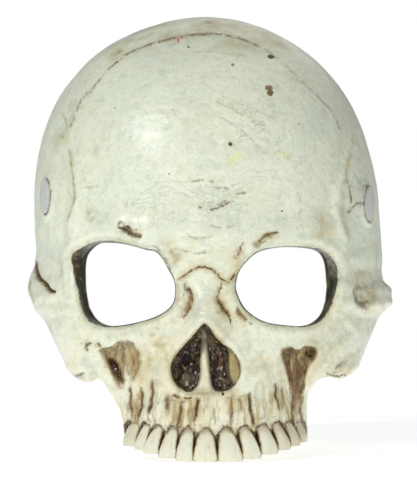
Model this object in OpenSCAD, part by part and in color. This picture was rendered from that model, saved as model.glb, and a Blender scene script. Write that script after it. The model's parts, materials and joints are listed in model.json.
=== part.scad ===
// Skull half mask with an elastic head strap, millimetres.
// +Z is up, the face looks along -Y, and the origin is the centre of the opening for the head.

/* [Shell] */
// Width across the temples
temple_w = 172; // [160:1:184]
// Height of the crown above the origin
crown_z = 112; // [108:1:118]
// Forehead's distance in front of the head opening
face_depth = 92; // [86:1:98]
// Thickness of the moulded latex
latex_t = 2.6; // [2.2:0.1:3.2]
// Width across the cheek arches
cheek_w = 181; // [176:1:186]
// Width of the upper jaw across its last teeth
jaw_w = 90; // [84:1:96]
// Height of the front teeth's lower edge, below the origin
teeth_z = -105; // [-108:1:-102]
// How far the nose bones stand out
nose_rise = 10; // [6:1:12]
// How deep the nose recess is
nose_sink = 8; // [4:1:10]
// Spokes of the shell's mesh
shell_spokes = 72; // [48:8:80]
// Rings of the shell's mesh
shell_rings = 20; // [16:1:24]

/* [Eye openings] */
// Width of an eye opening
eye_w = 44.5; // [38:0.5:46]
// Height of an eye opening
eye_h = 38.5; // [32:0.5:40]
// Distance between the centres of the eye openings
eye_pitch = 73; // [71:0.5:76]
// Height of the openings' centres
eye_z = -21.5; // [-24:0.5:-20]
// Tilt of each opening, outer side down
eye_tilt = 6; // [0:1:10]

/* [Press studs] */
// Distance of the studs in front of the head opening
stud_y = -36; // [-38:1:-30]
// Height of the left stud
left_stud_z = 21.5; // [16:0.5:24]
// Height of the right stud
right_stud_z = 18; // [16:0.5:24]
// Diameter of the outer cap
cap_d = 17; // [14:0.5:18]
// Thickness of the outer cap
cap_t = 1.3; // [1:0.1:1.6]
// Diameter of the cap's post
post_d = 4; // [3.6:0.1:4.4]
// Diameter of the backing washer
washer_d = 15; // [12:0.5:16]
// Thickness of the backing washer
washer_t = 0.6; // [0.5:0.1:0.8]
// Diameter of the socket
socket_d = 12; // [11:0.5:12.5]
// Radius of the stud's ball
ball_r = 2; // [1.8:0.1:2.2]

/* [Strap] */
// Width of the elastic band
band_w = 20; // [16:1:22]
// Thickness of the elastic band
band_t = 1.2; // [1:0.1:1.4]
// Distance between the band's two side runs
band_span = 156; // [150:1:157]
// Distance of the band's back run behind the head opening
band_back = 95; // [85:1:105]
// Bend radius of the band behind the head
band_bend = 50; // [46:1:52]
// How far the slider travels to let the strap out
slider_travel = 20; // [10:1:24]

/* [Hidden] */
$fn = 48;

// Colours
bone = [0.86, 0.85, 0.78];
cap_grey = [0.72, 0.74, 0.73];
steel = [0.75, 0.75, 0.77];
black_web = [0.12, 0.12, 0.13];
thread_grey = [0.30, 0.30, 0.32];

// Heights along the face
widest_z = 5;
nasion_z = -14;
nose_tip_z = -42;
nose_floor_z = -74;

// Power of the rounded sections, between an ellipse and a box
round_n = 2.2;

// The shell is drawn along rays from this point
ray_centre = [0, -20, -10];
ray_max = 170;
solve_steps = 18;

// Half width, front and side-wall start of the face at a few heights below the brow
cheek_half = cheek_w / 2;
jaw_half = jaw_w / 2;
width_stations = [
    [-120, jaw_half - 2], [-95, jaw_half], [-78, jaw_half + 4], [-70, jaw_half + 13],
    [-62, cheek_half - 18], [-46, cheek_half - 10.5], [-34, cheek_half - 2], [-24, cheek_half],
    [-10, temple_w / 2 + 1.5], [widest_z, temple_w / 2]
];
front_stations = [
    [-120, face_depth - 5], [-92, face_depth - 2], [nose_floor_z, face_depth - 4],
    [nose_tip_z, face_depth - 7], [nasion_z, face_depth - 4], [0, face_depth - 0.5],
    [widest_z, face_depth]
];
side_stations = [[-120, 52], [-74, 50], [-52, 34], [-34, 14], [-20, 2], [-10, 0]];

// Height of the shell's lower edge at a distance from the middle
edge_stations = [
    [0, teeth_z], [jaw_half / 2, teeth_z + 1], [jaw_half - 3, teeth_z + 6],
    [jaw_half, teeth_z + 18], [jaw_half + 4, teeth_z + 26], [jaw_half + 10, -68],
    [cheek_half - 25, -66], [cheek_half - 18, -58], [cheek_half - 12, -48],
    [cheek_half - 5, -37], [cheek_half, -31], [cheek_half + 8, -26]
];

// Where the rear edge lies, in front of the head opening, from the jaw up to the crown
rim_stations = [
    [-120, -56], [-76, -58], [-64, -52], [-52, -42], [-40, -26], [-30, -15], [20, -15], [60, -11],
    [100, -7], [130, -6]
];

// Stack through a stud, measured inwards from the pad's outer face
pad_sink = 0.9;
pad_r = cap_d / 2 + 1.2;
washer_s = latex_t;
flange_s = washer_s + washer_t;
flange_t = 0.6;
flange_d = 9;
ball_s = flange_s + flange_t + 2.4;
neck_r = 1;
ball_gap = 0.25;
ball_below = 1.5;
socket_s = ball_s - ball_below;
socket_t = ball_below + ball_r + 2 * ball_gap;
web_gap = 0.25;
band_s = socket_s + socket_t + web_gap;
eyelet_s = band_s + band_t + web_gap;
eyelet_t = 0.6;
eyelet_d = 10.5;
eyelet_r = 1.9;
post_wall = 0.7;
fit = 0.05;

// Slider and ring
bar_t = 1.6;
slider_l = 20;
slider_h = band_w + 7;
ring_wire = 2.2;
ring_l = 9;
ring_h = band_w + 6;
layer_gap = 0.35;

function clamp01(t) = min(1, max(0, t));
function bump(x, z, cx, cz, sx, sz) = exp(-pow((x - cx) / sx, 2) - pow((z - cz) / sz, 2));
function dome(z) =
    z <= widest_z ? 1
    : pow(max(0, 1 - pow(min(1, (z - widest_z) / (crown_z - widest_z)), round_n)), 1 / round_n);

// Half width of the section at height z
function half_w(z) = z > widest_z ? max(0.01, temple_w / 2 * dome(z)) : lookup(z, width_stations);

// Distance from the head opening to where the side wall starts to turn in, and to the front
function side_y(z) = lookup(z, side_stations);
function front_y(z) = z > widest_z ? max(0.01, face_depth * dome(z)) : lookup(z, front_stations);

function inside(p) =
    let(
        a = half_w(p.z),
        b = front_y(p.z) - side_y(p.z),
        fwd = max(0, -p.y - side_y(p.z)) / b
    )
    pow(abs(p.x) / a, round_n) + pow(fwd, round_n) < 1 && p.z < crown_z;

// Distance along ray d at which the plain head shape ends
function ray_length(d, near, far, n) =
    let(m = (near + far) / 2)
    n == 0 ? m
    : inside(ray_centre + m * d) ? ray_length(d, m, far, n - 1)
    : ray_length(d, near, m, n - 1);

// Relief of the face, measured forwards
function nose_bridge(x, z) =
    nose_rise * exp(-pow(x / 9, 2)) * clamp01((nasion_z + 6 - z) / 28) * clamp01((z + 56) / 10);
function nose_hollow(x, z) = -nose_sink * bump(abs(x), z, 9, -60, 8, 13);
function brow(x, z) = 3 * bump(abs(x), z, 30, 4, 30, 8);
function cheek_bone(x, z) = 4 * bump(abs(x), z, 62, -52, 14, 9);
function cheek_hollow(x, z) = -4 * bump(abs(x), z, 40, -62, 8, 8);
function jaw_ridge(x, z) = 3 * bump(0, z, 0, -88, 1, 9) * clamp01((jaw_half - abs(x)) / 12);
function relief(x, z) =
    nose_bridge(x, z) + nose_hollow(x, z) + brow(x, z) + cheek_bone(x, z) + cheek_hollow(x, z)
    + jaw_ridge(x, z);

function ray_dir(theta, phi) = [sin(theta) * cos(phi), -cos(theta), sin(theta) * sin(phi)];
function plain_point(theta, phi) =
    let(d = ray_dir(theta, phi))
    ray_centre + d * ray_length(d, 5, ray_max, solve_steps);
function face_point(theta, phi) =
    let(p = plain_point(theta, phi))
    p - [0, relief(p.x, p.z), 0];

// True past the trimmed edge of the shell
function trimmed(p) = p.y > lookup(p.z, rim_stations) || p.z < lookup(abs(p.x), edge_stations);
function rim_angle(phi, near, far, n) =
    let(m = (near + far) / 2)
    n == 0 ? m
    : trimmed(plain_point(m, phi)) ? rim_angle(phi, near, m, n - 1)
    : rim_angle(phi, m, far, n - 1);

// Centre of a stud's pad on the shell, and the shell's outward direction there
function stud_z(side) = side < 0 ? left_stud_z : right_stud_z;
function stud_x(side) =
    let(z = stud_z(side))
    side * half_w(z) * pow(1 - pow(-stud_y / front_y(z), round_n), 1 / round_n);
function stud_pos(side) = [stud_x(side), stud_y, stud_z(side)];
function stud_turn(side) =
    let(
        p = stud_pos(side),
        gx = pow(abs(p.x), round_n - 1) / pow(half_w(p.z), round_n),
        gy = pow(-p.y, round_n - 1) / pow(front_y(p.z), round_n)
    )
    atan2(gx, gy);
function stud_out(side) = [side * sin(stud_turn(side)), -cos(stud_turn(side)), 0];
function ball_pos(side) = stud_pos(side) - stud_out(side) * (pad_sink + ball_s);

// Line through both balls, on which the strap swings
swing_mid = (ball_pos(-1) + ball_pos(1)) / 2;
swing_half = norm(ball_pos(1) - ball_pos(-1)) / 2;
swing_dir = (ball_pos(1) - ball_pos(-1)) / (2 * swing_half);
swing_tilt = -asin(swing_dir.z);

// Puts a child that points along +Z onto a stud's axis, its origin on the pad, +Z inwards
module at_stud(side) {
    translate(stud_pos(side) - stud_out(side) * pad_sink)
        rotate([0, 0, 90 + side * stud_turn(side)])
            rotate([0, 90, 0])
                children();
}

// Puts a child into the strap's own frame: X through the two balls, Y to the rear
module in_strap_frame() {
    translate(swing_mid)
        rotate([0, swing_tilt, 0])
            children();
}

// Shell mesh: rings of points from the middle of the face out to the trimmed edge, in two skins
first_ring = 0.06;
function ring_share(i) = first_ring + (1 - first_ring) * i / (shell_rings - 1);
function spoke_phi(j) = 360 * j / shell_spokes;
rim_angles = [for (j = [0:shell_spokes - 1]) rim_angle(spoke_phi(j), 25, 125, solve_steps)];
outer_grid = [
    for (i = [0:shell_rings - 1]) [
        for (j = [0:shell_spokes - 1]) face_point(rim_angles[j] * ring_share(i), spoke_phi(j))
    ]
];
function unit(v) = v / norm(v);
function grid_normal(i, j) =
    let(
        before = (j + shell_spokes - 1) % shell_spokes,
        after = (j + 1) % shell_spokes,
        along = outer_grid[i][after] - outer_grid[i][before],
        out = outer_grid[min(i + 1, shell_rings - 1)][j] - outer_grid[max(i - 1, 0)][j]
    )
    unit(cross(out, along));
inner_grid = [
    for (i = [0:shell_rings - 1]) [
        for (j = [0:shell_spokes - 1]) outer_grid[i][j] - latex_t * grid_normal(i, j)
    ]
];
function mean(points, n, i = 0) = i >= n ? [0, 0, 0] : points[i] / n + mean(points, n, i + 1);

module shell_skin() {
    skin_count = shell_rings * shell_spokes;
    outer_mid = 2 * skin_count;
    inner_mid = 2 * skin_count + 1;
    points = concat(
        [for (ring = outer_grid, p = ring) p],
        [for (ring = inner_grid, p = ring) p],
        [mean(outer_grid[0], shell_spokes), mean(inner_grid[0], shell_spokes)]
    );
    last = (shell_rings - 1) * shell_spokes;
    faces = [
        for (j = [0:shell_spokes - 1]) let(k = (j + 1) % shell_spokes)
            each [
                [outer_mid, k, j],
                [inner_mid, skin_count + j, skin_count + k],
                [last + j, last + k, skin_count + last + k],
                [last + j, skin_count + last + k, skin_count + last + j]
            ],
        for (i = [0:shell_rings - 2], j = [0:shell_spokes - 1])
            let(
                k = (j + 1) % shell_spokes,
                a = i * shell_spokes + j,
                b = i * shell_spokes + k,
                c = (i + 1) * shell_spokes + k,
                d = (i + 1) * shell_spokes + j
            )
            each [
                [a, b, c],
                [a, c, d],
                [skin_count + a, skin_count + c, skin_count + b],
                [skin_count + a, skin_count + d, skin_count + c]
            ]
    ];
    polyhedron(points, faces, convexity = 8);
}

// Outline of an eye opening: a rounded box, as an orbit is, and where its cut starts and ends
eye_points = 28;
eye_n = 2.7;
eye_cut = [20, 130];
function signed_power(v, n) = sign(v) * pow(abs(v), 2 / n);
module eye_opening(side) {
    outline = [
        for (i = [0:eye_points - 1])
            let(t = 360 * i / eye_points)
            [eye_w / 2 * signed_power(cos(t), eye_n), eye_h / 2 * signed_power(sin(t), eye_n)]
    ];
    translate([side * eye_pitch / 2, 0, eye_z])
        rotate([0, side * eye_tilt, 0])
            rotate([90, 0, 0])
                translate([0, 0, eye_cut[0]])
                    linear_extrude(height = eye_cut[1] - eye_cut[0])
                        polygon(outline);
}

// Shell with its flattened pads, post holes and eye openings; over is how far a cut runs past a face
over = 1;
module mask_shell() {
    color(bone)
        difference() {
            union() {
                shell_skin();
                for (side = [-1, 1])
                    at_stud(side)
                        cylinder(r = pad_r, h = latex_t);
            }
            for (side = [-1, 1]) {
                eye_opening(side);
                at_stud(side) {
                    translate([0, 0, -pad_r])
                        cylinder(r = pad_r, h = pad_r);
                    translate([0, 0, -over])
                        cylinder(d = post_d + 2 * fit, h = latex_t + 2 * over);
                }
            }
        }
}

// Flat cap with a hollow post that passes through the latex and the washer, up to the stud
post_l = flange_s - fit;
post_floor = 0.2;
module stud_cap(side) {
    color(cap_grey)
        at_stud(side)
            difference() {
                union() {
                    translate([0, 0, -cap_t])
                        cylinder(d = cap_d, h = cap_t);
                    translate([0, 0, -fit])
                        cylinder(d = post_d, h = post_l + fit);
                }
                translate([0, 0, post_floor])
                    cylinder(d = post_d - 2 * post_wall, h = post_l);
            }
}

module backing_washer(side) {
    color(steel)
        at_stud(side)
            translate([0, 0, washer_s])
                difference() {
                    cylinder(d = washer_d, h = washer_t);
                    translate([0, 0, -over])
                        cylinder(d = post_d + 2 * fit, h = washer_t + 2 * over);
                }
}

// Male half: a shank in the cap's post, a flange, a neck and a ball
shank_s = 0.8;
module stud_ball(side) {
    color(steel)
        at_stud(side)
            union() {
                translate([0, 0, shank_s])
                    cylinder(d = post_d - 2 * post_wall - 2 * fit, h = flange_s + flange_t / 2 - shank_s);
                translate([0, 0, flange_s])
                    cylinder(d = flange_d, h = flange_t);
                translate([0, 0, flange_s])
                    cylinder(r = neck_r, h = ball_s - flange_s);
                translate([0, 0, ball_s])
                    sphere(r = ball_r);
            }
}

// Female half: a ring round the ball, closed by the strap's eyelet, with room to tip on the neck
neck_room = 0.6;
module socket(side) {
    color(steel)
        at_stud(side)
            difference() {
                translate([0, 0, socket_s])
                    cylinder(d = socket_d, h = socket_t);
                translate([0, 0, ball_s])
                    sphere(r = ball_r + ball_gap);
                translate([0, 0, socket_s - over])
                    cylinder(r = neck_r + neck_room, h = over + ball_below);
            }
}

eyelet_wall = 0.6;
module socket_eyelet(side) {
    color(steel)
        at_stud(side)
            difference() {
                union() {
                    translate([0, 0, eyelet_s])
                        cylinder(d = eyelet_d, h = eyelet_t);
                    translate([0, 0, socket_s + socket_t + fit])
                        cylinder(r = eyelet_r, h = eyelet_s - socket_s - socket_t);
                }
                translate([0, 0, band_s - over])
                    cylinder(r = eyelet_r - eyelet_wall, h = eyelet_s + eyelet_t - band_s + 2 * over);
            }
}

// Band paths, in the strap frame, as lists of [x, y]: the end lies flat on its socket, then leads
// round to the straight side run
end_turn = 90 - stud_turn(1);
flat_end = 7.5;
mid_layer = band_s + band_t / 2 - ball_s;
end_x = swing_half - mid_layer * cos(end_turn);
end_y = mid_layer * sin(end_turn);
span_half = band_span / 2;
lead_x = end_x + flat_end * sin(end_turn);
lead_y = end_y + flat_end * cos(end_turn);
lead_r = (span_half - lead_x) / (1 - cos(end_turn));
side_start = lead_y + lead_r * sin(end_turn);
back_y = band_back - swing_mid.y;
corner_y = back_y - band_bend;
corner_x = span_half - band_bend;

// From the stud's end of the band to the start of the straight side run, on the right
function end_path() = concat(
    [[end_x - flat_end * sin(end_turn), end_y - flat_end * cos(end_turn)], [lead_x, lead_y]],
    [
        for (i = [1:6])
            let(t = end_turn * (1 - i / 6))
            [span_half - lead_r * (1 - cos(t)), side_start - lead_r * sin(t)]
    ]
);
// Round the right rear corner, shifted inwards by a number of millimetres
function corner_path(shift) = [
    for (i = [0:12])
        let(t = 90 * i / 12, r = band_bend - shift)
        [corner_x + r * cos(t), corner_y + r * sin(t)]
];
function flipped(path) = [for (p = path) [-p.x, p.y]];
function backwards(path) = [for (i = [len(path) - 1:-1:0]) path[i]];

// A flat band along a path
function path_dir(path, i) =
    unit(concat(path[min(i + 1, len(path) - 1)] - path[max(i - 1, 0)], [0]));
function offset_side(path, i, by) =
    let(d = path_dir(path, i))
    path[i] + by * [-d.y, d.x];
module ribbon(path, width = band_w) {
    n = len(path);
    linear_extrude(height = width, center = true)
        polygon(concat(
            [for (i = [0:n - 1]) offset_side(path, i, band_t / 2)],
            [for (i = [n - 1:-1:0]) offset_side(path, i, -band_t / 2)]
        ));
}

module eyelet_hole(side) {
    at_stud(side)
        translate([0, 0, band_s - over])
            cylinder(r = eyelet_r + 3 * fit, h = band_t + 2 * over);
}

// The ring lies in the side run, behind the shell's edge, and the webbing wraps its bars
ring_y = side_start + 4;
wrap_gap = 0.15;
ring_near = ring_y + ring_wire / 2;
ring_far = ring_y + ring_l - ring_wire / 2;
wrap_r = ring_wire / 2 + wrap_gap + band_t / 2;
ring_x = span_half - wrap_r;
function wrap_path(y, turn, from, to) = [
    for (i = [0:10])
        let(t = from + (to - from) * i / 10)
        [ring_x + wrap_r * cos(t), y + turn * wrap_r * sin(t)]
];

// Long outer run, from the left socket round the back to the ring
module strap_band() {
    path = concat(
        flipped(concat(end_path(), corner_path(0))),
        backwards(corner_path(0)),
        wrap_path(ring_far, -1, 0, 180)
    );
    color(black_web)
        difference() {
            in_strap_frame()
                ribbon(path);
            eyelet_hole(-1);
        }
}

// Second layer, from the ring back towards the slider: it lies down on the outer run and at full
// travel still has slack_left of straight webbing ahead of the slider
layer = band_t + layer_gap;
converge = 14;
slack_left = 10;
slack_start = corner_x;
sewn_x = slack_start - slack_left - slider_travel;
module strap_return_run() {
    path = concat(
        [[ring_x - wrap_r, ring_far], [ring_x - wrap_r, ring_far + 2]],
        [[span_half - layer - 0.1, ring_far + converge]],
        corner_path(layer)
    );
    color(black_web)
        in_strap_frame()
            ribbon(path);
}

// Slider at rest, and the piece of the second layer that shortens as the slider moves
slider_x = sewn_x - slider_l / 2 - 2;
module strap_return_slack() {
    color(black_web)
        in_strap_frame()
            ribbon([[slack_start, back_y - layer], [sewn_x, back_y - layer]]);
}

// End of the second layer, folded round the slider's middle bar and sewn down
bar_r = 1;
fold_r = bar_r + wrap_gap + band_t / 2;
fold_end = layer + band_t + 0.1;
bar_y = back_y - layer - fold_r;
module strap_sewn_end() {
    path = concat(
        [[sewn_x, back_y - layer]],
        [
            for (i = [0:8])
                let(t = 90 + 180 * i / 8)
                [slider_x + fold_r * cos(t), bar_y + fold_r * sin(t)]
        ],
        [[slider_x + 3, bar_y - fold_r + 0.5], [slider_x + 7, back_y - fold_end]],
        [[sewn_x - 0.5, back_y - fold_end]]
    );
    color(black_web)
        in_strap_frame()
            ribbon(path);
}

// Short piece of webbing from the right socket, folded round the ring's near bar
tab_fold = 12;
module right_end_tab() {
    path = concat(
        end_path(),
        wrap_path(ring_near, 1, 0, 180),
        [[span_half - 2 * wrap_r, ring_near - 1]],
        [[span_half - layer - 0.2, ring_near - tab_fold / 2]],
        [[span_half - layer - 0.8, ring_near - tab_fold]]
    );
    color(black_web)
        difference() {
            in_strap_frame()
                ribbon(path);
            eyelet_hole(1);
        }
}

module ring_bar(a, b, r) {
    length = norm(b - a);
    turn = b.z - a.z > length / 2 ? [0, 0, 0] : [-90, 0, 0];
    translate(a)
        rotate(turn)
            cylinder(r = r, h = length);
}

// Rectangular wire ring with round corners
module strap_ring() {
    r = ring_wire / 2;
    corners = [
        [ring_x, ring_near, -ring_h / 2], [ring_x, ring_far, -ring_h / 2],
        [ring_x, ring_near, ring_h / 2], [ring_x, ring_far, ring_h / 2]
    ];
    color(steel)
        in_strap_frame()
            union() {
                ring_bar(corners[0], corners[2], r);
                ring_bar(corners[1], corners[3], r);
                ring_bar(corners[0], corners[1], r);
                ring_bar(corners[2], corners[3], r);
                for (c = corners)
                    translate(c)
                        sphere(r = r);
            }
}

// Slider: two bars on the outer side of the band, rails past its edges and a middle bar inside
slider_gap = 0.3;
end_bar_w = 3;
rail_h = (slider_h - band_w - 1) / 2;
module strap_slider() {
    plate_y = back_y + band_t / 2 + slider_gap;
    rail_y = bar_y - bar_r;
    color(cap_grey)
        in_strap_frame()
            translate([slider_x, 0, 0])
                union() {
                    for (side = [-1, 1]) {
                        translate([side * (slider_l - end_bar_w) / 2, plate_y + bar_t / 2, 0])
                            cube([end_bar_w, bar_t, slider_h], center = true);
                        translate([-slider_l / 2, rail_y, side * (slider_h - rail_h) / 2 - rail_h / 2])
                            cube([slider_l, plate_y + bar_t - rail_y, rail_h]);
                    }
                    translate([0, bar_y, -slider_h / 2])
                        cylinder(r = bar_r, h = slider_h);
                }
}

// Bar tacks, each a thin raised block of thread
tack_t = 0.3;
tack_w = 1.6;
tack_edge = 2;
module tab_stitching() {
    color(thread_grey)
        in_strap_frame()
            translate([span_half + band_t / 2, ring_near - tab_fold + tack_w, -band_w / 2 + tack_edge])
                cube([tack_t, tack_w, band_w - 2 * tack_edge]);
}
module sewn_end_stitching() {
    color(thread_grey)
        in_strap_frame()
            for (x = [slider_x + 8, sewn_x - 3])
                translate([x, back_y - fold_end - band_t / 2 - tack_t, -band_w / 2 + tack_edge])
                    cube([tack_w, tack_t, band_w - 2 * tack_edge]);
}

mask_shell();
stud_cap(-1);  // left_stud_cap
stud_cap(1);  // right_stud_cap
backing_washer(-1);  // left_backing_washer
backing_washer(1);  // right_backing_washer
stud_ball(-1);  // left_stud
stud_ball(1);  // right_stud
socket(-1);  // left_socket
socket(1);  // right_socket
socket_eyelet(-1);  // left_socket_eyelet
socket_eyelet(1);  // right_socket_eyelet
strap_band();
strap_return_run();
strap_return_slack();
strap_sewn_end();
right_end_tab();
strap_ring();
strap_slider();
tab_stitching();
sewn_end_stitching();
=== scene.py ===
import bmesh
import bpy
import json
import math
import numpy as np
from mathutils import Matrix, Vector


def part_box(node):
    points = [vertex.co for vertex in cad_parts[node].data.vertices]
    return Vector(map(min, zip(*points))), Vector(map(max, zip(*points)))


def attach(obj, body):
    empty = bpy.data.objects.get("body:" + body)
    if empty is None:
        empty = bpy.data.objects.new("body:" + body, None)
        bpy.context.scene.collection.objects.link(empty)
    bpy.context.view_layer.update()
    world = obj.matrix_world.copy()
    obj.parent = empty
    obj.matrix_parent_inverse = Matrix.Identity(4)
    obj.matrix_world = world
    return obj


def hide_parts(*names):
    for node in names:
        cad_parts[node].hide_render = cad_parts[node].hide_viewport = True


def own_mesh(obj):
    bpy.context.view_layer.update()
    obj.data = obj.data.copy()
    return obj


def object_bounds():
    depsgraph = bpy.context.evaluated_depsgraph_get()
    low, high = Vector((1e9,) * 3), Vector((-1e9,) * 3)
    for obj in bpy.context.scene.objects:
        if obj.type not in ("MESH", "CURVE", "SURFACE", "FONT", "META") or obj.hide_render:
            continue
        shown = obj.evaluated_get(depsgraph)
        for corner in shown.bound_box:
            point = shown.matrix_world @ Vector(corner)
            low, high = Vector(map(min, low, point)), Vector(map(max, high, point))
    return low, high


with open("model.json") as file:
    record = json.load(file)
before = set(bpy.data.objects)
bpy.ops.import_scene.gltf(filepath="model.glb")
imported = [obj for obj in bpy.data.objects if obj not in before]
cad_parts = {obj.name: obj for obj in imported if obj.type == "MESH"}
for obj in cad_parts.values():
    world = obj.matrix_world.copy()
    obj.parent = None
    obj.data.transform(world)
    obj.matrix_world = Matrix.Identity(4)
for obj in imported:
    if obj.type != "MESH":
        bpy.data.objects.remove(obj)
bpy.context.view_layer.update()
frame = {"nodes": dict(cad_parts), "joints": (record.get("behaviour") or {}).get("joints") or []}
MM = 0.001

# The camera looks straight at the face. Places on the face are given in "face millimetres" (u, w):
# where a point is seen on an upright plane at REF_Y, so an outline holds whatever its depth is.
REF_Y = -18.0
CAM_DISTANCE = 1250.0
CAM_X = 0.75
FRAME_WIDTH = 208.5
CAMERA = np.array([CAM_X, REF_Y - CAM_DISTANCE, 0.0])


# ---------------------------------------------------------------- small maths
FAR = 1e3


def smooth(t):
    """A soft step from 0 at t = 0 to 1 at t = 1."""
    t = np.clip(t, 0.0, 1.0)
    return t * t * (3.0 - 2.0 * t)


def band(x, middle, width):
    """A soft bell: 1 where x is at its middle."""
    return np.exp(-(((x - middle) / width) ** 2))


def mix(a, b, t):
    return a + (b - a) * t


def unit(v):
    return v / np.maximum(np.linalg.norm(v, axis=-1, keepdims=True), 1e-9)


def table(stations, column=1):
    """A smooth curve through the listed stations, returned as a function of the first column."""
    x = np.array([s[0] for s in stations], float)
    y = np.array([s[column] for s in stations], float)
    slope = np.gradient(y, x)
    fine = np.linspace(x[0], x[-1], 600)
    k = np.clip(np.searchsorted(x, fine) - 1, 0, len(x) - 2)
    h = x[k + 1] - x[k]
    t = (fine - x[k]) / h
    value = (
        (2 * t**3 - 3 * t**2 + 1) * y[k]
        + (t**3 - 2 * t**2 + t) * h * slope[k]
        + (-2 * t**3 + 3 * t**2) * y[k + 1]
        + (t**3 - t**2) * h * slope[k + 1]
    )
    return lambda q: np.interp(q, fine, value)


def spline(points, closed=False, steps=6):
    """Points along a Catmull-Rom curve through the given ones."""
    p = np.array(points, float)
    if closed:
        p = np.vstack([p[-1], p, p[0], p[1]])
    else:
        p = np.vstack([2 * p[0] - p[1], p, 2 * p[-1] - p[-2]])
    t = np.linspace(0, 1, steps, endpoint=False)[:, None]
    parts = []
    for a, b, c, d in zip(p[:-3], p[1:-2], p[2:-1], p[3:]):
        parts.append(
            0.5 * (2 * b + (c - a) * t + (2 * a - 5 * b + 4 * c - d) * t**2
                   + (3 * b - a - 3 * c + d) * t**3)
        )
    if not closed:
        parts.append(p[-2][None, :])
    return np.vstack(parts)


def near(u, w, line, reach):
    low, high = line.min(0) - reach, line.max(0) + reach
    return (u > low[0]) & (u < high[0]) & (w > low[1]) & (w < high[1])


def line_distance(u, w, line, reach=16.0):
    """Distance to an open line and the share of the way along it, up to a reach."""
    dist = np.full(u.size, FAR)
    along = np.zeros(u.size)
    pick = np.flatnonzero(near(u.ravel(), w.ravel(), line, reach))
    q = np.stack([u.ravel()[pick], w.ravel()[pick]], -1)
    best = np.full(len(pick), FAR)
    share = np.zeros(len(pick))
    count = len(line) - 1
    for i in range(count):
        a, b = line[i], line[i + 1]
        ab = b - a
        t = np.clip(((q - a) @ ab) / max(ab @ ab, 1e-9), 0, 1)
        d = np.linalg.norm(q - a - t[:, None] * ab, axis=1)
        closer = d < best
        best = np.where(closer, d, best)
        share = np.where(closer, (i + t) / count, share)
    dist[pick] = best
    along[pick] = share
    return dist.reshape(u.shape), along.reshape(u.shape)


def inside_distance(u, w, outline, reach=16.0):
    """Signed distance to a closed outline, positive inside it."""
    ring = np.vstack([outline, outline[:1]])
    dist, _ = line_distance(u, w, ring, reach)
    inside = np.zeros(u.shape, bool)
    pick = near(u, w, ring, 0.0)
    x, y = u[pick], w[pick]
    hit = np.zeros(x.shape, bool)
    for a, b in zip(ring[:-1], ring[1:]):
        if a[1] == b[1]:
            continue
        crosses = (a[1] > y) != (b[1] > y)
        hit ^= crosses & (x < (b[0] - a[0]) * (y - a[1]) / (b[1] - a[1]) + a[0])
    inside[pick] = hit
    return np.where(inside, dist, -dist)


class Place:
    """Places on the face: seen at face millimetres (u, w), and where they are in space (p)."""

    def __init__(self, u, w, p):
        self.u, self.w, self.p = u, w, p

    def inside(self, outline):
        return inside_distance(self.u, self.w, outline)

    def beyond(self, points):
        """How far u lies beyond a line that runs up the face, positive to the right of it."""
        across, heights = np.array(points, float).T
        order = np.argsort(heights)
        return self.u - np.interp(self.w, heights[order], across[order])

    def stroke(self, points, width, taper=0.15):
        """A soft line through the points: 1 on it, fading across its width and at its ends."""
        dist, along = line_distance(self.u, self.w, spline(points), width * 3.5)
        return band(dist, 0, width) * smooth(along / taper) * smooth((1 - along) / taper)

    def bump(self, cu, cw, su, sw, turn=0.0):
        """A soft oval: 1 at its middle (cu, cw), with half width su and half height sw, turned."""
        c, s = math.cos(math.radians(turn)), math.sin(math.radians(turn))
        a = (self.u - cu) * c + (self.w - cw) * s
        b = -(self.u - cu) * s + (self.w - cw) * c
        return np.exp(-((a / su) ** 2) - (b / sw) ** 2)


def hashed(ix, iy, iz, seed):
    h = (ix * 374761393 + iy * 668265263 + iz * 1440662683 + seed * 974634777) & 0xFFFFFFFF
    h = ((h ^ (h >> 13)) * 1274126177) & 0xFFFFFFFF
    return (h ^ (h >> 16)).astype(float) / 0xFFFFFFFF * 2 - 1


def noise(p, size, seed=0, octaves=1):
    """Smooth noise between -1 and 1 at points p (..., 3), with features of the given size."""
    total = np.zeros(p.shape[:-1])
    gain, norm = 1.0, 0.0
    for octave in range(octaves):
        q = p / size * 2**octave + 1000.5
        cell = np.floor(q).astype(np.int64)
        f = q - cell
        f = f * f * (3 - 2 * f)
        value = 0.0
        for dx in (0, 1):
            for dy in (0, 1):
                for dz in (0, 1):
                    share = (
                        (f[..., 0] if dx else 1 - f[..., 0])
                        * (f[..., 1] if dy else 1 - f[..., 1])
                        * (f[..., 2] if dz else 1 - f[..., 2])
                    )
                    corner = hashed(cell[..., 0] + dx, cell[..., 1] + dy, cell[..., 2] + dz,
                                    seed + octave * 17)
                    value = value + share * corner
        total += gain * value
        norm += gain
        gain *= 0.5
    return total / norm


# ---------------------------------------------------------------- plain shape of the head
CENTRE = np.array([0.0, -20.0, -10.0])
WIDEST = 5.0
CROWN = 112.0
ROUND = 2.2
FACE = 92.0
# Above WIDEST: height and share of the full section, then height and lean to one side
DOME = [(WIDEST, 1.0), (29, 0.986), (45, 0.951), (57, 0.908), (69, 0.843), (81, 0.746), (93, 0.606),
        (101, 0.463), (107, 0.303), (110.3, 0.16), (CROWN, 0.02)]
LEAN = [(WIDEST, 0.0), (25, -0.8), (41, -1.5), (57, -1.9), (85, -2.3), (97, -2.3), (CROWN, -1.0)]
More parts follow.
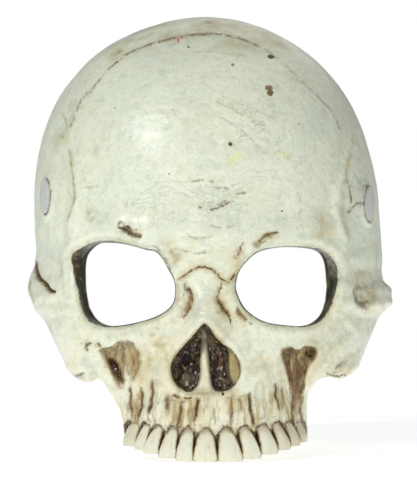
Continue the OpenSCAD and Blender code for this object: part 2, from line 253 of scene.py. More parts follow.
# Height, half width to the left and to the right, in face millimetres
SIDES = [
    (-120, 45, 49), (-100, 46, 50.5), (-86, 47, 50.6), (-76, 53, 56), (-69, 65.5, 70.5), (-65, 70, 75.5),
    (-60, 71.8, 77.6), (-52, 75.5, 80.2), (-43, 79.6, 83.8), (-38, 82.6, 86.2), (-34.5, 85.6, 89.6),
    (-32, 86.4, 92.6), (-28, 88.7, 92.6), (-23.5, 89.6, 92.4), (-20.5, 89.3, 89.4), (-16, 88.2, 88.2),
    (-11, 87.0, 88.4), (-6, 86.2, 88.3), (WIDEST, 86.9, 87.4),
]
# Height, and how far ahead of the rear plane the front lies, then where the side wall turns in
FRONTS = [
    (-120, 87), (-104, 90.5), (-92, 91), (-74, 88), (-58, 85.5), (-42, 85), (-26, 86),
    (-14, 88.5), (-4, 91), (WIDEST, FACE),
]
WALLS = [(-120, 52), (-90, 51), (-74, 48), (-62, 42), (-50, 32), (-34, 14), (-20, 2), (-8, 0),
         (WIDEST, 0)]
dome_at = table(DOME)
lean_at = table(LEAN)
left_half = table(SIDES, 1)
right_half = table(SIDES, 2)
front_at = table(FRONTS)
wall_at = table(WALLS)


def to_face(p):
    """Face millimetres at which the camera sees a point."""
    k = 1 + (p[..., 1] - REF_Y) / CAM_DISTANCE
    return CAM_X + (p[..., 0] - CAM_X) / k, p[..., 2] / k


def inside_head(p):
    """True inside the plain head, before any relief."""
    u, w = to_face(p)
    u = u - lean_at(w)
    dome = dome_at(w)
    half = np.where(u < 0, left_half(w), right_half(w)) * dome
    wall = wall_at(w)
    deep = np.maximum(front_at(w) * dome - wall, 0.01)
    ahead = np.maximum(0.0, -p[..., 1] - wall) / deep
    return ((np.abs(u) / half) ** ROUND + ahead**ROUND < 1) & (w < CROWN)


def march(start, direction, far, steps=22):
    """Where rays from inside the plain head leave it, by halving the distance."""
    low = np.zeros(direction.shape[:-1])
    high = np.full(direction.shape[:-1], far)
    for _ in range(steps):
        middle = (low + high) / 2
        ok = inside_head(start + direction * middle[..., None])
        low = np.where(ok, middle, low)
        high = np.where(ok, high, middle)
    return start + direction * ((low + high) / 2)[..., None]


def plain_head(a, b):
    """Point of the plain head in the direction (a, b), in degrees from straight ahead."""
    theta = np.radians(np.hypot(a, b))
    phi = np.arctan2(b, a)
    d = np.stack([np.sin(theta) * np.cos(phi), -np.cos(theta), np.sin(theta) * np.sin(phi)], -1)
    return march(CENTRE, d, 190.0)


def camera_direction(p):
    return unit(CAMERA - p)


def head_at(u, w):
    """Point of the plain head seen at face millimetres (u, w)."""
    plane = np.stack([u, np.full(np.shape(u), REF_Y), w], -1)
    return march(plane, camera_direction(plane), 150.0)


# ---------------------------------------------------------------- outlines on the face
LEFT_OPENING = spline([
    (-60.5, -6.5), (-54.5, -2), (-46, -1.5), (-37, -3), (-30.5, -5), (-25.5, -6), (-22, -10),
    (-19.5, -14.5), (-16.5, -20.5), (-16, -27.5), (-18, -33), (-24, -37.5), (-34, -41),
    (-46, -43), (-52, -42.3), (-56.8, -39.5), (-60.3, -34.5), (-62, -27), (-62.5, -20),
    (-62.3, -12),
], closed=True)
RIGHT_OPENING = spline([
    (33, -4), (41, -3.5), (50.5, -4.3), (57, -6.3), (60, -10.5), (61.2, -17.5), (61, -26.5),
    (59, -36), (54, -41), (47.5, -43), (38, -42.5), (29.5, -41), (23.5, -38), (18.5, -33.5),
    (15.3, -27), (14.5, -22.5), (16, -16), (20, -10.5), (25.5, -6),
], closed=True)
LEFT_SOCKET = spline([
    (-68, -7.8), (-65, -5.2), (-60, -2.3), (-54, -0.2), (-46, -0.2), (-37, -2.0), (-30.5, -4.1),
    (-25, -5), (-21.2, -9.4), (-18.7, -14.2), (-15.8, -20.5), (-15.3, -27.7), (-17.4, -33.5),
    (-23.7, -38.3), (-34, -41.8), (-46, -43.8), (-53.5, -43.2), (-59, -40.2), (-62.6, -34),
    (-65, -24), (-67, -15),
], closed=True)
RIGHT_SOCKET = spline([
    (33, -3.2), (41, -2.7), (50.5, -3.2), (58, -4.9), (63, -9.2), (65.4, -14.5), (65, -23),
    (62.4, -32), (58.2, -39), (54, -42.3), (47.5, -43.8), (38, -43.3), (29.3, -41.8),
    (23, -38.7), (17.8, -34), (14.5, -27.2), (13.7, -22.5), (15.3, -15.6), (19.4, -9.9),
    (25.2, -5.1),
], closed=True)
NOSE = spline([
    (-1.5, -41.5), (-5, -45), (-9, -49.5), (-12.5, -53.5), (-15.8, -57.5), (-18.2, -62.5),
    (-18, -67), (-16.5, -71), (-13.5, -74.5), (-10, -76), (-6.5, -76.3), (-2, -77), (3, -76.3),
    (7.5, -76), (12, -74.6), (15, -71.5), (16.8, -67.5), (16.8, -62.5), (15, -58), (12.5, -54.8),
    (8.5, -52.2), (5, -48.7), (1.8, -44),
], closed=True)
LEFT_HOLLOW = spline([
    (-52.8, -54.5), (-47.5, -54), (-44.5, -51.5), (-39.5, -51), (-36, -53), (-33, -59.5),
    (-33.6, -65), (-36.5, -71), (-41.2, -75.5), (-45.6, -72), (-48.6, -66), (-51.2, -59.5),
], closed=True)
RIGHT_HOLLOW = spline([
    (37.5, -55), (41, -54), (45, -55.5), (49, -53.8), (53, -54.5), (54.4, -58.5), (51.6, -62.5),
    (49.8, -68), (48.4, -75), (46.8, -85), (43.4, -87), (41.6, -76), (39.8, -67.5), (38.2, -60.5),
], closed=True)
# Lower edge of the shell from the left arch, along cheek, jaw and cheek, to the right arch
LOWER_EDGE = np.array([
    (-110, -28), (-92, -31), (-84, -36), (-77, -49), (-72, -61), (-69.3, -65.5), (-66, -68.9),
    (-61.5, -71.2), (-57.5, -70.6), (-54.3, -69), (-51, -72), (-47.5, -78), (-44, -83), (-42, -90),
    (-41, -101.5), (-34, -103.5), (-24, -106), (-14, -108), (0, -109.3), (12, -109), (24, -107.3),
    (34, -105), (44, -101.8), (50.3, -100), (50.2, -91), (50, -86), (50.5, -76), (54, -71),
    (58, -68.6), (61.5, -68.2), (67, -69.4), (72, -67.4), (76.4, -63.2), (81, -53.5), (85.6, -42),
    (88.6, -36.4), (90.8, -34.2), (94, -32.6), (110, -30),
])
# Where the rear edge lies (height, y)
REAR_EDGE = [
    (-125, -50), (-90, -52), (-76, -53), (-64, -49), (-54, -40), (-44, -27), (-36, -19),
    (-28, -15.5), (0, -15), (20, -14.5), (40, -13.5), (70, -10), (100, -7), (125, -5),
]
rear_at = table(REAR_EDGE)

# Upper teeth from left to right: middle and width at the gum, then at the biting edge, edge height
TEETH = [
    (-37.5, 8, -39, 7, -103), (-31.2, 5.5, -33.6, 6, -105),
    (-24.8, 6.7, -28.3, 7.6, -107), (-17.4, 6.4, -20, 8.6, -109),
    (-9.5, 7.2, -11.5, 8.6, -110.5), (-0.6, 8.2, -0.9, 12, -111.3),
    (9.6, 7.4, 11.8, 12.2, -111), (18.9, 8, 22.6, 9.2, -109.5),
    (28.2, 7.5, 31.6, 8.5, -107.3), (35.4, 6.2, 39, 6.6, -105),
    (41.6, 5.6, 44.6, 5.4, -103), (46.8, 4.6, 48.7, 4.6, -101),
]
# Height of the bone's border over the middle teeth and over the last ones
GUM_MID, GUM_SIDE = -93.6, -90.6


# ---------------------------------------------------------------- relief of the face
LEFT_TEMPLE = [(-66, -8), (-67.5, -2.5), (-69, 10), (-66, 20.5), (-67.5, 33), (-73, 46.5), (-76, 56)]
RIGHT_TEMPLE = [(69, -8), (70, 1), (67.5, 7.5), (66, 16.5), (67.5, 26), (70, 33), (72.5, 45), (75, 56)]
LEFT_ARCH = [(-75.5, -27), (-78, -25.2), (-80, -23.5), (-82.2, -21.2), (-84.6, -18.5), (-86, -14)]
LEFT_SLIT = [(-85.5, -10), (-86, -14.5), (-84.5, -19), (-82, -21.5), (-80, -24), (-78, -25.5),
             (-75, -26.3)]
RIGHT_PIT = spline([(73.5, -22), (76, -20), (80, -19.5), (84, -21), (85.5, -26), (83.5, -31.5),
                    (79, -33.8), (75, -32), (73, -27.5)], closed=True)
NOSE_LEDGE = spline([(8.6, -51.5), (10.4, -56.5), (10.6, -63), (11.0, -67.5), (12.6, -71.5),
                     (15.4, -71.5), (18.2, -67), (18.4, -62), (15.2, -56)], closed=True)
SEPTUM = [(-1.8, -46), (-1.4, -52), (-1.3, -61), (-0.9, -67), (-1.2, -72), (-1.8, -78)]
LEFT_SLOT = spline([(-48.8, -59.3), (-45.6, -61.2), (-43, -65.8), (-41.9, -71.4), (-45.0, -68.8),
                    (-47.8, -64.5)], closed=True)
# Grooves between the roots of the teeth, each with its depth's share
ROOT_GROOVES = [
    ([(-38.6, -72), (-38.4, -79), (-36.8, -89)], 0.8), ([(-33.2, -73.5), (-32.8, -82), (-34.4, -91)], 1),
    ([(-27.2, -69.5), (-27.6, -78), (-29.2, -88)], 1), ([(-20.2, -78), (-20, -84.5)], 0.6),
    ([(-19.2, -80), (-19.4, -88)], 0.4), ([(-13, -81.5), (-13.6, -88), (-15.6, -95)], 0.9),
    ([(-4.4, -78.5), (-5, -84), (-6.6, -91)], 1.4), ([(-8.6, -83), (-9.4, -90)], 0.4),
    ([(3.6, -84), (4, -92)], 0.35), ([(12.6, -79.5), (12.4, -92)], 0.45),
    ([(16.6, -77.5), (17, -86)], 0.5),
    ([(21.3, -76), (21.8, -84), (24.2, -94.5)], 1.3), ([(34.2, -71), (34.6, -78), (36.2, -85.5)], 0.8),
    ([(37.6, -72), (38.4, -80), (40.8, -89)], 0.5), ([(42.4, -80), (43.2, -90)], 0.9),
    ([(46.6, -72), (46.6, -84), (47.4, -91)], 1),
]
NASAL_GROOVES = [
    [(-12.3, -21.5), (-8.2, -27), (-9.2, -33), (-13.5, -39.5)],
    [(6.5, -19.5), (5.3, -28.5), (7.5, -33.5), (10.5, -37), (12.5, -44)],
    [(13.8, -34), (17, -37.5), (21.5, -41.5)],
]
FRONTAL_SUTURE = [(-16, -20.5), (-11, -17.5), (-6.5, -14.5), (-2, -13.5), (3, -15), (8.5, -20.5),
                  (11.5, -20), (15, -15.5)]
CORONAL_SUTURE = [
    (-68.5, 56), (-67, 59.5), (-62, 70.5), (-57, 75.5), (-50, 84.5), (-43, 90.5), (-36, 95), (-27, 98.5),
    (-13, 101.5), (2, 103), (13, 101.5), (28, 96.5), (39.5, 86.5), (48, 78.5), (57, 69.5), (62.5, 63.5),
    (67, 53),
]
LEFT_BROW_PIT = [(-42.8, 7.4), (-39, 4.5), (-34.5, 2.5), (-31.5, 1.5)]
RIGHT_BROW_GROOVE = [(33.8, 3.4), (29, 2.2), (25.2, -0.8), (22.3, -3.4)]
UNDER_NOSE = [(-17.5, -77.5), (-13, -79.3), (-7.5, -79.3)]
CURL_NICK = [(-56.5, -52.2), (-58.6, -52.4), (-59.2, -54.2), (-57.8, -55.2)]
PALE_OVAL = spline([(24.8, -73), (27, -70.8), (28.6, -74), (28.4, -80), (26.2, -82.5), (24.4, -79)],
                   closed=True)
# Humps and dips along the surface's normal: middle, half width and height, turn, rise
SWELLS = [
    (-42, 6.5, 22, 6, -6, 2.6), (44, 5, 22, 6, 6, 2.6),  # brow ridges
    (0, 4, 16, 9, 0, 1.5), (0, 26, 22, 11, 0, -1.0),  # between the brows, and over them
    (-33, 56, 22, 24, 0, 1.2), (34, 56, 22, 24, 0, 1.2),  # bosses of the forehead
    (-62, -50, 13, 8, -25, 2.6), (65, -50, 13, 8, 25, 2.6),  # cheekbones
    (-78, -15, 8, 9, 0, -1.6), (78, -12, 8, 9, 0, -0.8),  # behind the orbits
    (-1.8, -79, 4.5, 3.2, 0, 1.4), (-18.6, -70.5, 1.2, 1.2, 0, 0.8),  # spine and wart by the nose
]
# The same along the line of sight
SINKS = [
    (0, -15, 17, 6.5, 0, -3.2), (-15.5, -15, 5, 9, 0, -2.2), (13.5, -14, 4.5, 8, 0, -2.2),  # nose root
    (41.3, -56, 1.8, 2.6, 0, -1.8), (51.5, -56, 2.2, 1.8, 0, -1.8),  # pits of the right hollow
    (-40, -66, 9, 14, 12, -2.4), (42, -68, 8, 14, -8, -2.0), (-30, -47, 7, 4, 0, -0.88),  # cheeks
]


def gum_height(u):
    """Lower border of the bone over the teeth: an arch over each tooth, a point between two."""
    from_middle = [0, 24, 50]
    points_at = [-98.3, -96.6, -92.0]
    height = np.interp(np.abs(u), from_middle, points_at)
    for middle, width, *_ in TEETH:
        top = np.interp(abs(middle + 0.5), from_middle, [GUM_MID - 0.4, GUM_MID + 1.2, GUM_SIDE + 2.0])
        low = np.interp(abs(middle), from_middle, points_at)
        t = np.abs(u - middle) / (width / 2 + 0.5)
        height = np.where(t < 1, top - (top - low) * np.clip(t, 0, 1) ** 1.7, height)
    return height


class Face(Place):
    """Relief of the face: along the line of sight, along the surface's normal, and named masks."""

    def __init__(self, u, w, p):
        super().__init__(u, w, p)
        self.sight = np.zeros(u.shape)
        self.out = np.zeros(u.shape)
        self.masks = {}
        self.jaw = smooth((49 - np.abs(u)) / 6)
        for *place, rise in SWELLS:
            self.out += rise * self.bump(*place)
        for *place, rise in SINKS:
            self.sight += rise * self.bump(*place)
        self.orbits()
        self.temples()
        self.arches()
        self.nose()
        self.hollows()
        self.upper_jaw()
        self.cuts()
        self.unevenness()

    def socket(self, rim, opening, side):
        """Distance inside an orbit's rim, depth of its wall, and the wall's share down to the opening."""
        from_rim = self.inside(rim)
        to_hole = np.clip(-self.inside(opening), 0, None)
        share = np.clip(from_rim, 0, None) / np.maximum(from_rim + to_hole, 0.05)
        depth = mix(4.0, 11.0, smooth((side * self.u - 44) / 16))
        within = from_rim > 0
        return from_rim, np.where(within, depth * share**0.8, 0.0), np.where(within, share, 0.0)

    def orbits(self):
        left_rim, left_wall, left_share = self.socket(LEFT_SOCKET, LEFT_OPENING, -1)
        right_rim, right_wall, right_share = self.socket(RIGHT_SOCKET, RIGHT_OPENING, 1)
        rim = np.maximum(left_rim, right_rim)
        self.sight -= left_wall + right_wall
        self.sight -= 0.9 * band(rim, -0.2, 0.9) * (rim < 0)
        self.out += 1.3 * band(rim, -3.2, 2.8) * (rim < 0)
        self.masks.update(rim=rim, share=np.maximum(left_share, right_share))

    def temples(self):
        """The temples fall away beyond their lines."""
        upright = smooth((self.w + 10) / 10) * smooth((62 - self.w) / 18)
        for beyond in (-self.beyond(LEFT_TEMPLE), self.beyond(RIGHT_TEMPLE)):
            self.out += upright * 1.1 * band(beyond, -1.6, 2.2)
            self.sight -= upright * 4.2 * smooth((beyond + 0.6) / 4.2)

    def arches(self):
        """The arches from the cheekbones to the ears."""
        self.out += 1.4 * self.stroke([(-66, -44), (-76, -36), (-86, -27)], 6.5)
        self.out += 1.4 * self.stroke([(68, -44), (78, -37), (88, -30)], 6.5)
        slit = self.stroke(LEFT_SLIT, 0.75, 0.1)
        ahead = smooth(-self.beyond(LEFT_ARCH) / 1.2) * smooth((-13 - self.w) / 6)
        self.out += ahead * smooth((self.w + 44) / 14) - 1.8 * slit
        pit = self.inside(RIGHT_PIT)
        self.out += 0.35 * band(pit, -2.2, 1.8) - 1.7 * smooth((pit + 0.6) / 3.4)
        self.out -= 0.9 * self.stroke([(87.5, -19), (90, -22), (92, -25)], 1.0)
        self.masks.update(slit=slit, pit=pit)

    def nose(self):
        """Nose bones, the flared rim, and the deep recess with its septum and ledge."""
        u, w = self.u, self.w
        bones = smooth((-13 - w) / 30) * smooth((w + 56) / 13)
        spread = np.interp(w, [-60, -42, -28, -14], [13, 10.5, 7.6, 7.0])
        self.sight += 7.5 * bones * np.exp(-(np.abs((u + 0.6) / spread) ** 2.6))
        self.sight += 2.2 * smooth((-34 - w) / 20) * band(u, 0, 24) * smooth((w + 100) / 30)
        nose = self.inside(NOSE)
        self.sight += 1.3 * band(nose, -2.0, 2.0) * (nose < 0.5)
        septum_gap, _ = line_distance(u, w, spline(SEPTUM))
        septum_half = np.interp(w, [-79, -76, -73, -70, -66, -60, -52, -46],
                                [7.5, 5.6, 3.6, 2.7, 2.2, 1.9, 1.3, 0.8])
        septum = smooth((septum_half + 1.1 - septum_gap) / 2.2) * smooth((-46 - w) / 16) ** 0.6
        off_septum = septum_gap - septum_half * smooth((-43 - w) / 5)
        step = smooth((self.inside(NOSE_LEDGE) + 0.3) / 1.4)
        depth = 9.5 * smooth((nose + 0.35) / 2.8) * (1 - 0.72 * septum) * (1 - 0.62 * step)
        rough = noise(self.p * np.array([1.0, 1.0, 0.45]), 2.3, 5, 2)
        self.sight -= depth + 0.9 * rough * smooth(nose / 2) * (1 - septum) * (1 - 0.7 * step)
        recess = smooth((nose + 0.15) / 0.9) * (1 - septum)
        hole_d = np.maximum(self.masks["rim"], np.minimum(nose, off_septum))
        self.masks.update(nose=nose, septum=septum, step=step * smooth(nose), rough=rough,
                          recess=recess, hole_d=hole_d)

    def hollows(self):
        """The hollows under the cheekbones, with the slot in the left one."""
        u, w = self.u, self.w
        hollow = np.maximum(self.inside(LEFT_HOLLOW), self.inside(RIGHT_HOLLOW))
        streaks = noise(self.p * np.array([1.0, 1.0, 0.22]), 1.7, 9, 2)
        open_end = 1 - smooth((-60 - w - 0.5 * (u + 42)) / 12) * smooth((u + 46) / 5) * (u < 0)
        deep = 4.4 * smooth((hollow + 0.3) / 3.0) + 0.6 * streaks * smooth(hollow / 1.5)
        self.sight -= deep * mix(0.6, 1, smooth((w + 74) / 14)) * open_end
        self.sight += 0.8 * band(hollow, -1.8, 1.6) * (hollow < 0) * smooth((w + 62) / 6)
        slot_d = self.inside(LEFT_SLOT)
        slot = smooth((slot_d + 0.5) / 1.3)
        self.sight -= 3.0 * slot
        hole_d = np.maximum(self.masks["hole_d"], slot_d)
        self.masks.update(hollow=hollow, streaks=streaks, open_end=open_end, slot=slot, slot_d=slot_d,
                          hole_d=hole_d)

    def upper_jaw(self):
        """Bulge of the jaw, roots of the teeth, grooves, and the border over the teeth."""
        u, w = self.u, self.w
        self.sight += 1.6 * band(w, -86, 8) * self.jaw
        for middle, width, *_ in TEETH:
            self.out += self.stroke([(middle, -96), (middle * 0.975, -86), (middle * 0.95, -77)],
                                    width * 0.34, 0.35)
        grooves = np.zeros(u.shape)
        for line, weight in ROOT_GROOVES:
            wavy = Place(u + 0.35 * np.sin(w * 0.9 + line[0][0]), w, self.p)
            grooves = np.maximum(grooves, weight * wavy.stroke(line, 0.85, 0.25))
        ribs = noise(self.p * np.array([1.0, 0.6, 0.14]), 2.1, 12, 2) * smooth((-72 - w) / 6) * self.jaw
        under_nose = self.stroke(UNDER_NOSE, 0.8)
        oval = self.inside(PALE_OVAL)
        self.out += 0.45 * ribs - 0.9 * grooves - 0.5 * under_nose - 0.4 * band(oval, 0, 0.8)
        below = gum_height(u) - w
        self.sight += 0.75 * band(below, -0.9, 0.9) * self.jaw - 3.4 * smooth((below + 0.1) / 0.5)
        self.masks.update(grooves=grooves, ribs=ribs, under_nose=under_nose, oval=oval, below=below)

    def cuts(self):
        """Grooves beside the nose and small cuts in the brow and cheek."""
        nasal = np.zeros(self.u.shape)
        for line in NASAL_GROOVES:
            nasal = np.maximum(nasal, self.stroke(line, 1.3, 0.3))
        brow_cut = self.stroke(LEFT_BROW_PIT, 1.0, 0.2)
        right_cut = self.stroke(RIGHT_BROW_GROOVE, 1.5, 0.2)
        curl = self.stroke(CURL_NICK, 0.55, 0.1)
        self.out -= 1.6 * self.stroke([(-11.5, -21), (-9.5, -23.5), (-9, -26)], 1.8)
        self.out -= 1.2 * nasal + 1.3 * brow_cut + 0.9 * right_cut + 0.6 * curl
        self.masks.update(nasal=nasal, brow_cut=brow_cut, right_cut=right_cut, curl=curl)

    def unevenness(self):
        """Marks of modelling by hand: long swells, shorter ones low on the face, and fine ones."""
        calm = 1 - 0.7 * smooth((self.w - 20) / 20)
        worked = 0.34 + 0.22 * smooth((-34 - self.w) / 20)
        fine = 1 - smooth((self.w - 40) / 30)
        self.out += 0.6 * noise(self.p, 17.0, 1, 2) + worked * calm * noise(self.p, 6.0, 2, 2)
        self.out += 0.10 * noise(self.p, 2.6, 3, 1) * fine


# ---------------------------------------------------------------- shell mesh
LATEX = 2.5
STEPS = 176
# Widest direction of the lattice in degrees, how much it crowds to the middle, and its round end
REACH = 101.0
CROWDING = 0.34
ROUND_END = 99.5
# Lower edge closed far below the mask
BELOW_EDGE = np.vstack([LOWER_EDGE, [(110, -220), (-110, -220)]])
# Flattened pads: depth of the washer's middle under a pad's face, the cap's seat and lip on the
# outer skin, the washer's seat on the inner one, and how far from the pad any of it reaches
WASHER_DEPTH = 2.9
SEAT_R = 8.85
LIP_R = 10.4
WASHER_LEVEL, WASHER_R, WASHER_FADE = -2.6, 8.6, 9.0
PAD_REACH, PAD_DEPTH = 26.0, 22.0


def plain_normal(a, b):
    step = 0.25
    across = plain_head(a + step, b) - plain_head(a - step, b)
    up = plain_head(a, b + step) - plain_head(a, b - step)
    n = unit(np.cross(across, up))
    away = np.sum(n * (plain_head(a, b) - CENTRE), -1, keepdims=True)
    return np.where(away < 0, -n, n)


def keep_field(p, u, w):
    """Positive where the shell has material, in millimetres from its nearest edge."""
    field = rear_at(w) - p[..., 1]
    for outline in (LEFT_OPENING, RIGHT_OPENING, BELOW_EDGE):
        field = np.minimum(field, -inside_distance(u, w, outline))
    return field


def pad_frames():
    """Middle of each flattened pad's face and its outward direction, read from the CAD parts."""
    frames = []
    for side in ("left", "right"):
        centres = []
        for part in ("backing_washer", "socket"):
            low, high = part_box(f"{side}_{part}")
            centres.append(np.array((low + high) / 2) / MM)
        inward = unit(centres[1] - centres[0])
        frames.append((centres[0] - inward * WASHER_DEPTH, -inward))
    return frames


PADS = pad_frames()


def from_pad(p, pad):
    """Distance of points from a pad's axis, and their height over its face."""
    face, outward = pad
    level = (p - face) @ outward
    radius = np.linalg.norm(p - face - level[..., None] * outward, axis=-1)
    return radius, level


def flatten_pads(p, inner=False):
    """Presses the surface flat at the pads; the outer skin also gets a soft lip round each."""
    p = p.copy()
    for pad in PADS:
        outward = pad[1]
        radius, level = from_pad(p, pad)
        close = (radius < PAD_REACH) & (np.abs(level) < PAD_DEPTH)
        if not close.any():
            continue
        if inner:
            shift = (1 - smooth((radius - WASHER_R) / WASHER_FADE)) * (WASHER_LEVEL - level)
        else:
            lip = 0.9 * band(radius, LIP_R, 1.3) * (radius > SEAT_R)
            shift = lip - (1 - smooth((radius - SEAT_R) / 1.1)) * level
        p += np.where(close, shift, 0.0)[..., None] * outward
    return p


def surface(a, b):
    """The finished outer skin at directions (a, b), with what painting it needs."""
    plain = plain_head(a, b)
    normal = plain_normal(a, b)
    u, w = to_face(plain)
    face = Face(u, w, plain)
    facing = np.clip(np.sum(normal * camera_direction(plain), -1), 0, 1)
    sight = face.sight * smooth(facing / 0.25)
    out = face.out * mix(0.3, 1.0, smooth(facing / 0.35))
    p = flatten_pads(plain + sight[..., None] * camera_direction(plain) + out[..., None] * normal)
    return {"p": p, "plain": plain, "normal": normal, "u": u, "w": w, "sight": sight, "out": out,
            "masks": face.masks}


def soften(grid, size):
    """Running mean over a square window of the grid."""
    padded = np.pad(grid, size, mode="edge")
    total = np.cumsum(np.cumsum(np.pad(padded, ((1, 0), (1, 0))), 0), 1)
    k = 2 * size + 1
    window = total[k:, k:] - total[:-k, k:] - total[k:, :-k] + total[:-k, :-k]
    return window / (k * k)


def lowest(grid, size):
    """Running minimum over a square window of the grid."""
    for axis in (0, 1):
        grid = np.min([np.roll(grid, shift, axis) for shift in range(-size, size + 1)], axis=0)
    return grid


def sample(grid, a, b, angles):
    """The grid's value at directions (a, b), between its nodes."""
    index = np.arange(len(angles))
    i = np.interp(a, angles, index)
    j = np.interp(b, angles, index)
    i0 = np.clip(i.astype(int), 0, len(angles) - 2)
    j0 = np.clip(j.astype(int), 0, len(angles) - 2)
    s, t = i - i0, j - j0
    return (
        grid[i0, j0] * (1 - s) * (1 - t) + grid[i0 + 1, j0] * s * (1 - t)
        + grid[i0, j0 + 1] * (1 - s) * t + grid[i0 + 1, j0 + 1] * s * t
    )


def crossings(a0, b0, f0, a1, b1, f1):
    """Directions at which the shell's edge crosses lines of the lattice."""
    low = np.where(f0 > 0, 0.0, 1.0)
    high = 1.0 - low
    f_low, f_high = np.maximum(f0, f1), np.minimum(f0, f1)
    for _ in range(7):
        t = mix(low, high, np.clip(f_low / np.maximum(f_low - f_high, 1e-9), 0.1, 0.9))
        a, b = mix(a0, a1, t), mix(b0, b1, t)
        p = plain_head(a, b)
        u, w = to_face(p)
        f = keep_field(p, u, w)
        inside = f > 0
        low, f_low = np.where(inside, t, low), np.where(inside, f, f_low)
        high, f_high = np.where(inside, high, t), np.where(inside, f_high, f)
    t = np.clip((low + high) / 2, 0.04, 0.96)
    return mix(a0, a1, t), mix(b0, b1, t)


def cut_edges(a, b, field):
    """Directions where the shell's edge crosses the lattice, and their numbers along each axis."""
    inside = field > 0
    count = int(inside.sum())
    directions, numbers = [], []
    for axis in (0, 1):
        first, second = [slice(None), slice(None)], [slice(None), slice(None)]
        first[axis], second[axis] = slice(None, -1), slice(1, None)
        first, second = tuple(first), tuple(second)
        mixed = inside[first] != inside[second]
        ends = [grid[side][mixed] for side in (first, second) for grid in (a, b, field)]
        directions.append(crossings(*ends))
        numbering = np.full(mixed.shape, -1)
        numbering[mixed] = count + np.arange(mixed.sum())
        count += int(mixed.sum())
        numbers.append(numbering)
    edge_a, edge_b = (np.concatenate(part) for part in zip(*directions))
    return edge_a, edge_b, numbers


def lattice_faces(inside, cuts):
    """Faces over the lattice's squares, trimmed where the edge runs through them."""
    ids = np.full(inside.shape, -1)
    ids[inside] = np.arange(inside.sum())
    total = inside[:-1, :-1].astype(int) + inside[1:, :-1] + inside[1:, 1:] + inside[:-1, 1:]
    faces = []
    for i, j in np.argwhere(total == 4):
        faces.append((ids[i, j], ids[i + 1, j], ids[i + 1, j + 1], ids[i, j + 1]))
    for i, j in np.argwhere((total > 0) & (total < 4)):
        corners = [(i, j), (i + 1, j), (i + 1, j + 1), (i, j + 1)]
        cut = [cuts[0][i, j], cuts[1][i + 1, j], cuts[0][i, j + 1], cuts[1][i, j]]
        ring = []
        for k in range(4):
            if inside[corners[k]]:
                ring.append(ids[corners[k]])
            if inside[corners[k]] != inside[corners[(k + 1) % 4]]:
                ring.append(cut[k])
        if total[i, j] == 2 and inside[corners[0]] == inside[corners[2]]:
            start = 0 if inside[corners[0]] else 1
            for k in (start, start + 2):
                faces.append((ids[corners[k]], cut[k % 4], cut[(k - 1) % 4]))
        elif len(ring) >= 3:
            faces.append(tuple(ring))
    return faces


def build_shell():
    """Points of the outer and inner skins, the faces of one skin, and what painting them needs."""
    t = np.linspace(-1, 1, 2 * STEPS + 1)
    angles = REACH * ((1 - CROWDING) * t + CROWDING * t**3)
    a, b = np.meshgrid(angles, angles, indexing="ij")
    outer = surface(a, b)
    field = keep_field(outer["plain"], outer["u"], outer["w"])
    field = np.where(np.hypot(a, b) < ROUND_END, field, -5.0)
    field = np.where(np.abs(field) < 1e-4, 1e-4, field)
    inside = field > 0
    edge_a, edge_b, cuts = cut_edges(a, b, field)
    edge = surface(edge_a, edge_b)

    def joined(of_lattice, of_edge):
        return np.concatenate([of_lattice[inside], of_edge])

    data = {key: joined(outer[key], edge[key]) for key in ("p", "plain", "u", "w")}
    data["masks"] = {key: joined(grid, edge["masks"][key]) for key, grid in outer["masks"].items()}
    data["faces"] = lattice_faces(inside, cuts)

    # the inner skin follows the outer relief loosely, always behind it
    window = 6
    deep = np.where(outer["masks"]["rim"] > 1.5, np.minimum(outer["sight"], -6.5), outer["sight"])
    at = (joined(a, edge_a), joined(b, edge_b), angles)
    sight = sample(soften(lowest(deep, window), window), *at)
    out = sample(soften(lowest(outer["out"], window), window), *at)
    plain, normal = data["plain"], joined(outer["normal"], edge["normal"])
    skin = plain + sight[:, None] * camera_direction(plain) + (out - LATEX)[:, None] * normal
    data["inner"] = flatten_pads(skin, inner=True)
    return data


def edge_loops(faces):
    """Closed loops of the edges that only one face uses, in the faces' direction."""
    seen = {}
    for face in faces:
        for i, v in enumerate(face):
            k = (v, face[(i + 1) % len(face)])
            seen[k] = seen.get(k, 0) + 1
    after = {v: k for v, k in seen if (k, v) not in seen}
    loops = []
    while after:
        start, following = next(iter(after.items()))
        loop = [start]
        del after[start]
        while following in after:
            loop.append(following)
            following = after.pop(following)
        loops.append(loop)
    return loops


# ---------------------------------------------------------------- paint
def srgb(*c):
    c = np.array(c, float) / 255
    return np.where(c <= 0.04045, c / 12.92, ((c + 0.055) / 1.055) ** 2.4)


IVORY = srgb(228, 233, 210)
COOL = srgb(213, 221, 204)
CREAM = srgb(226, 218, 184)
TAN = srgb(184, 169, 117)
RUST = srgb(138, 99, 55)
BROWN = srgb(92, 62, 34)
DARK = srgb(48, 36, 24)
BLACK = srgb(15, 12, 10)
OLIVE = srgb(62, 58, 42)
DRAB = srgb(186, 188, 160)
LIME = srgb(226, 229, 142)
SHADE = srgb(176, 180, 166)
RAW = srgb(220, 212, 186)

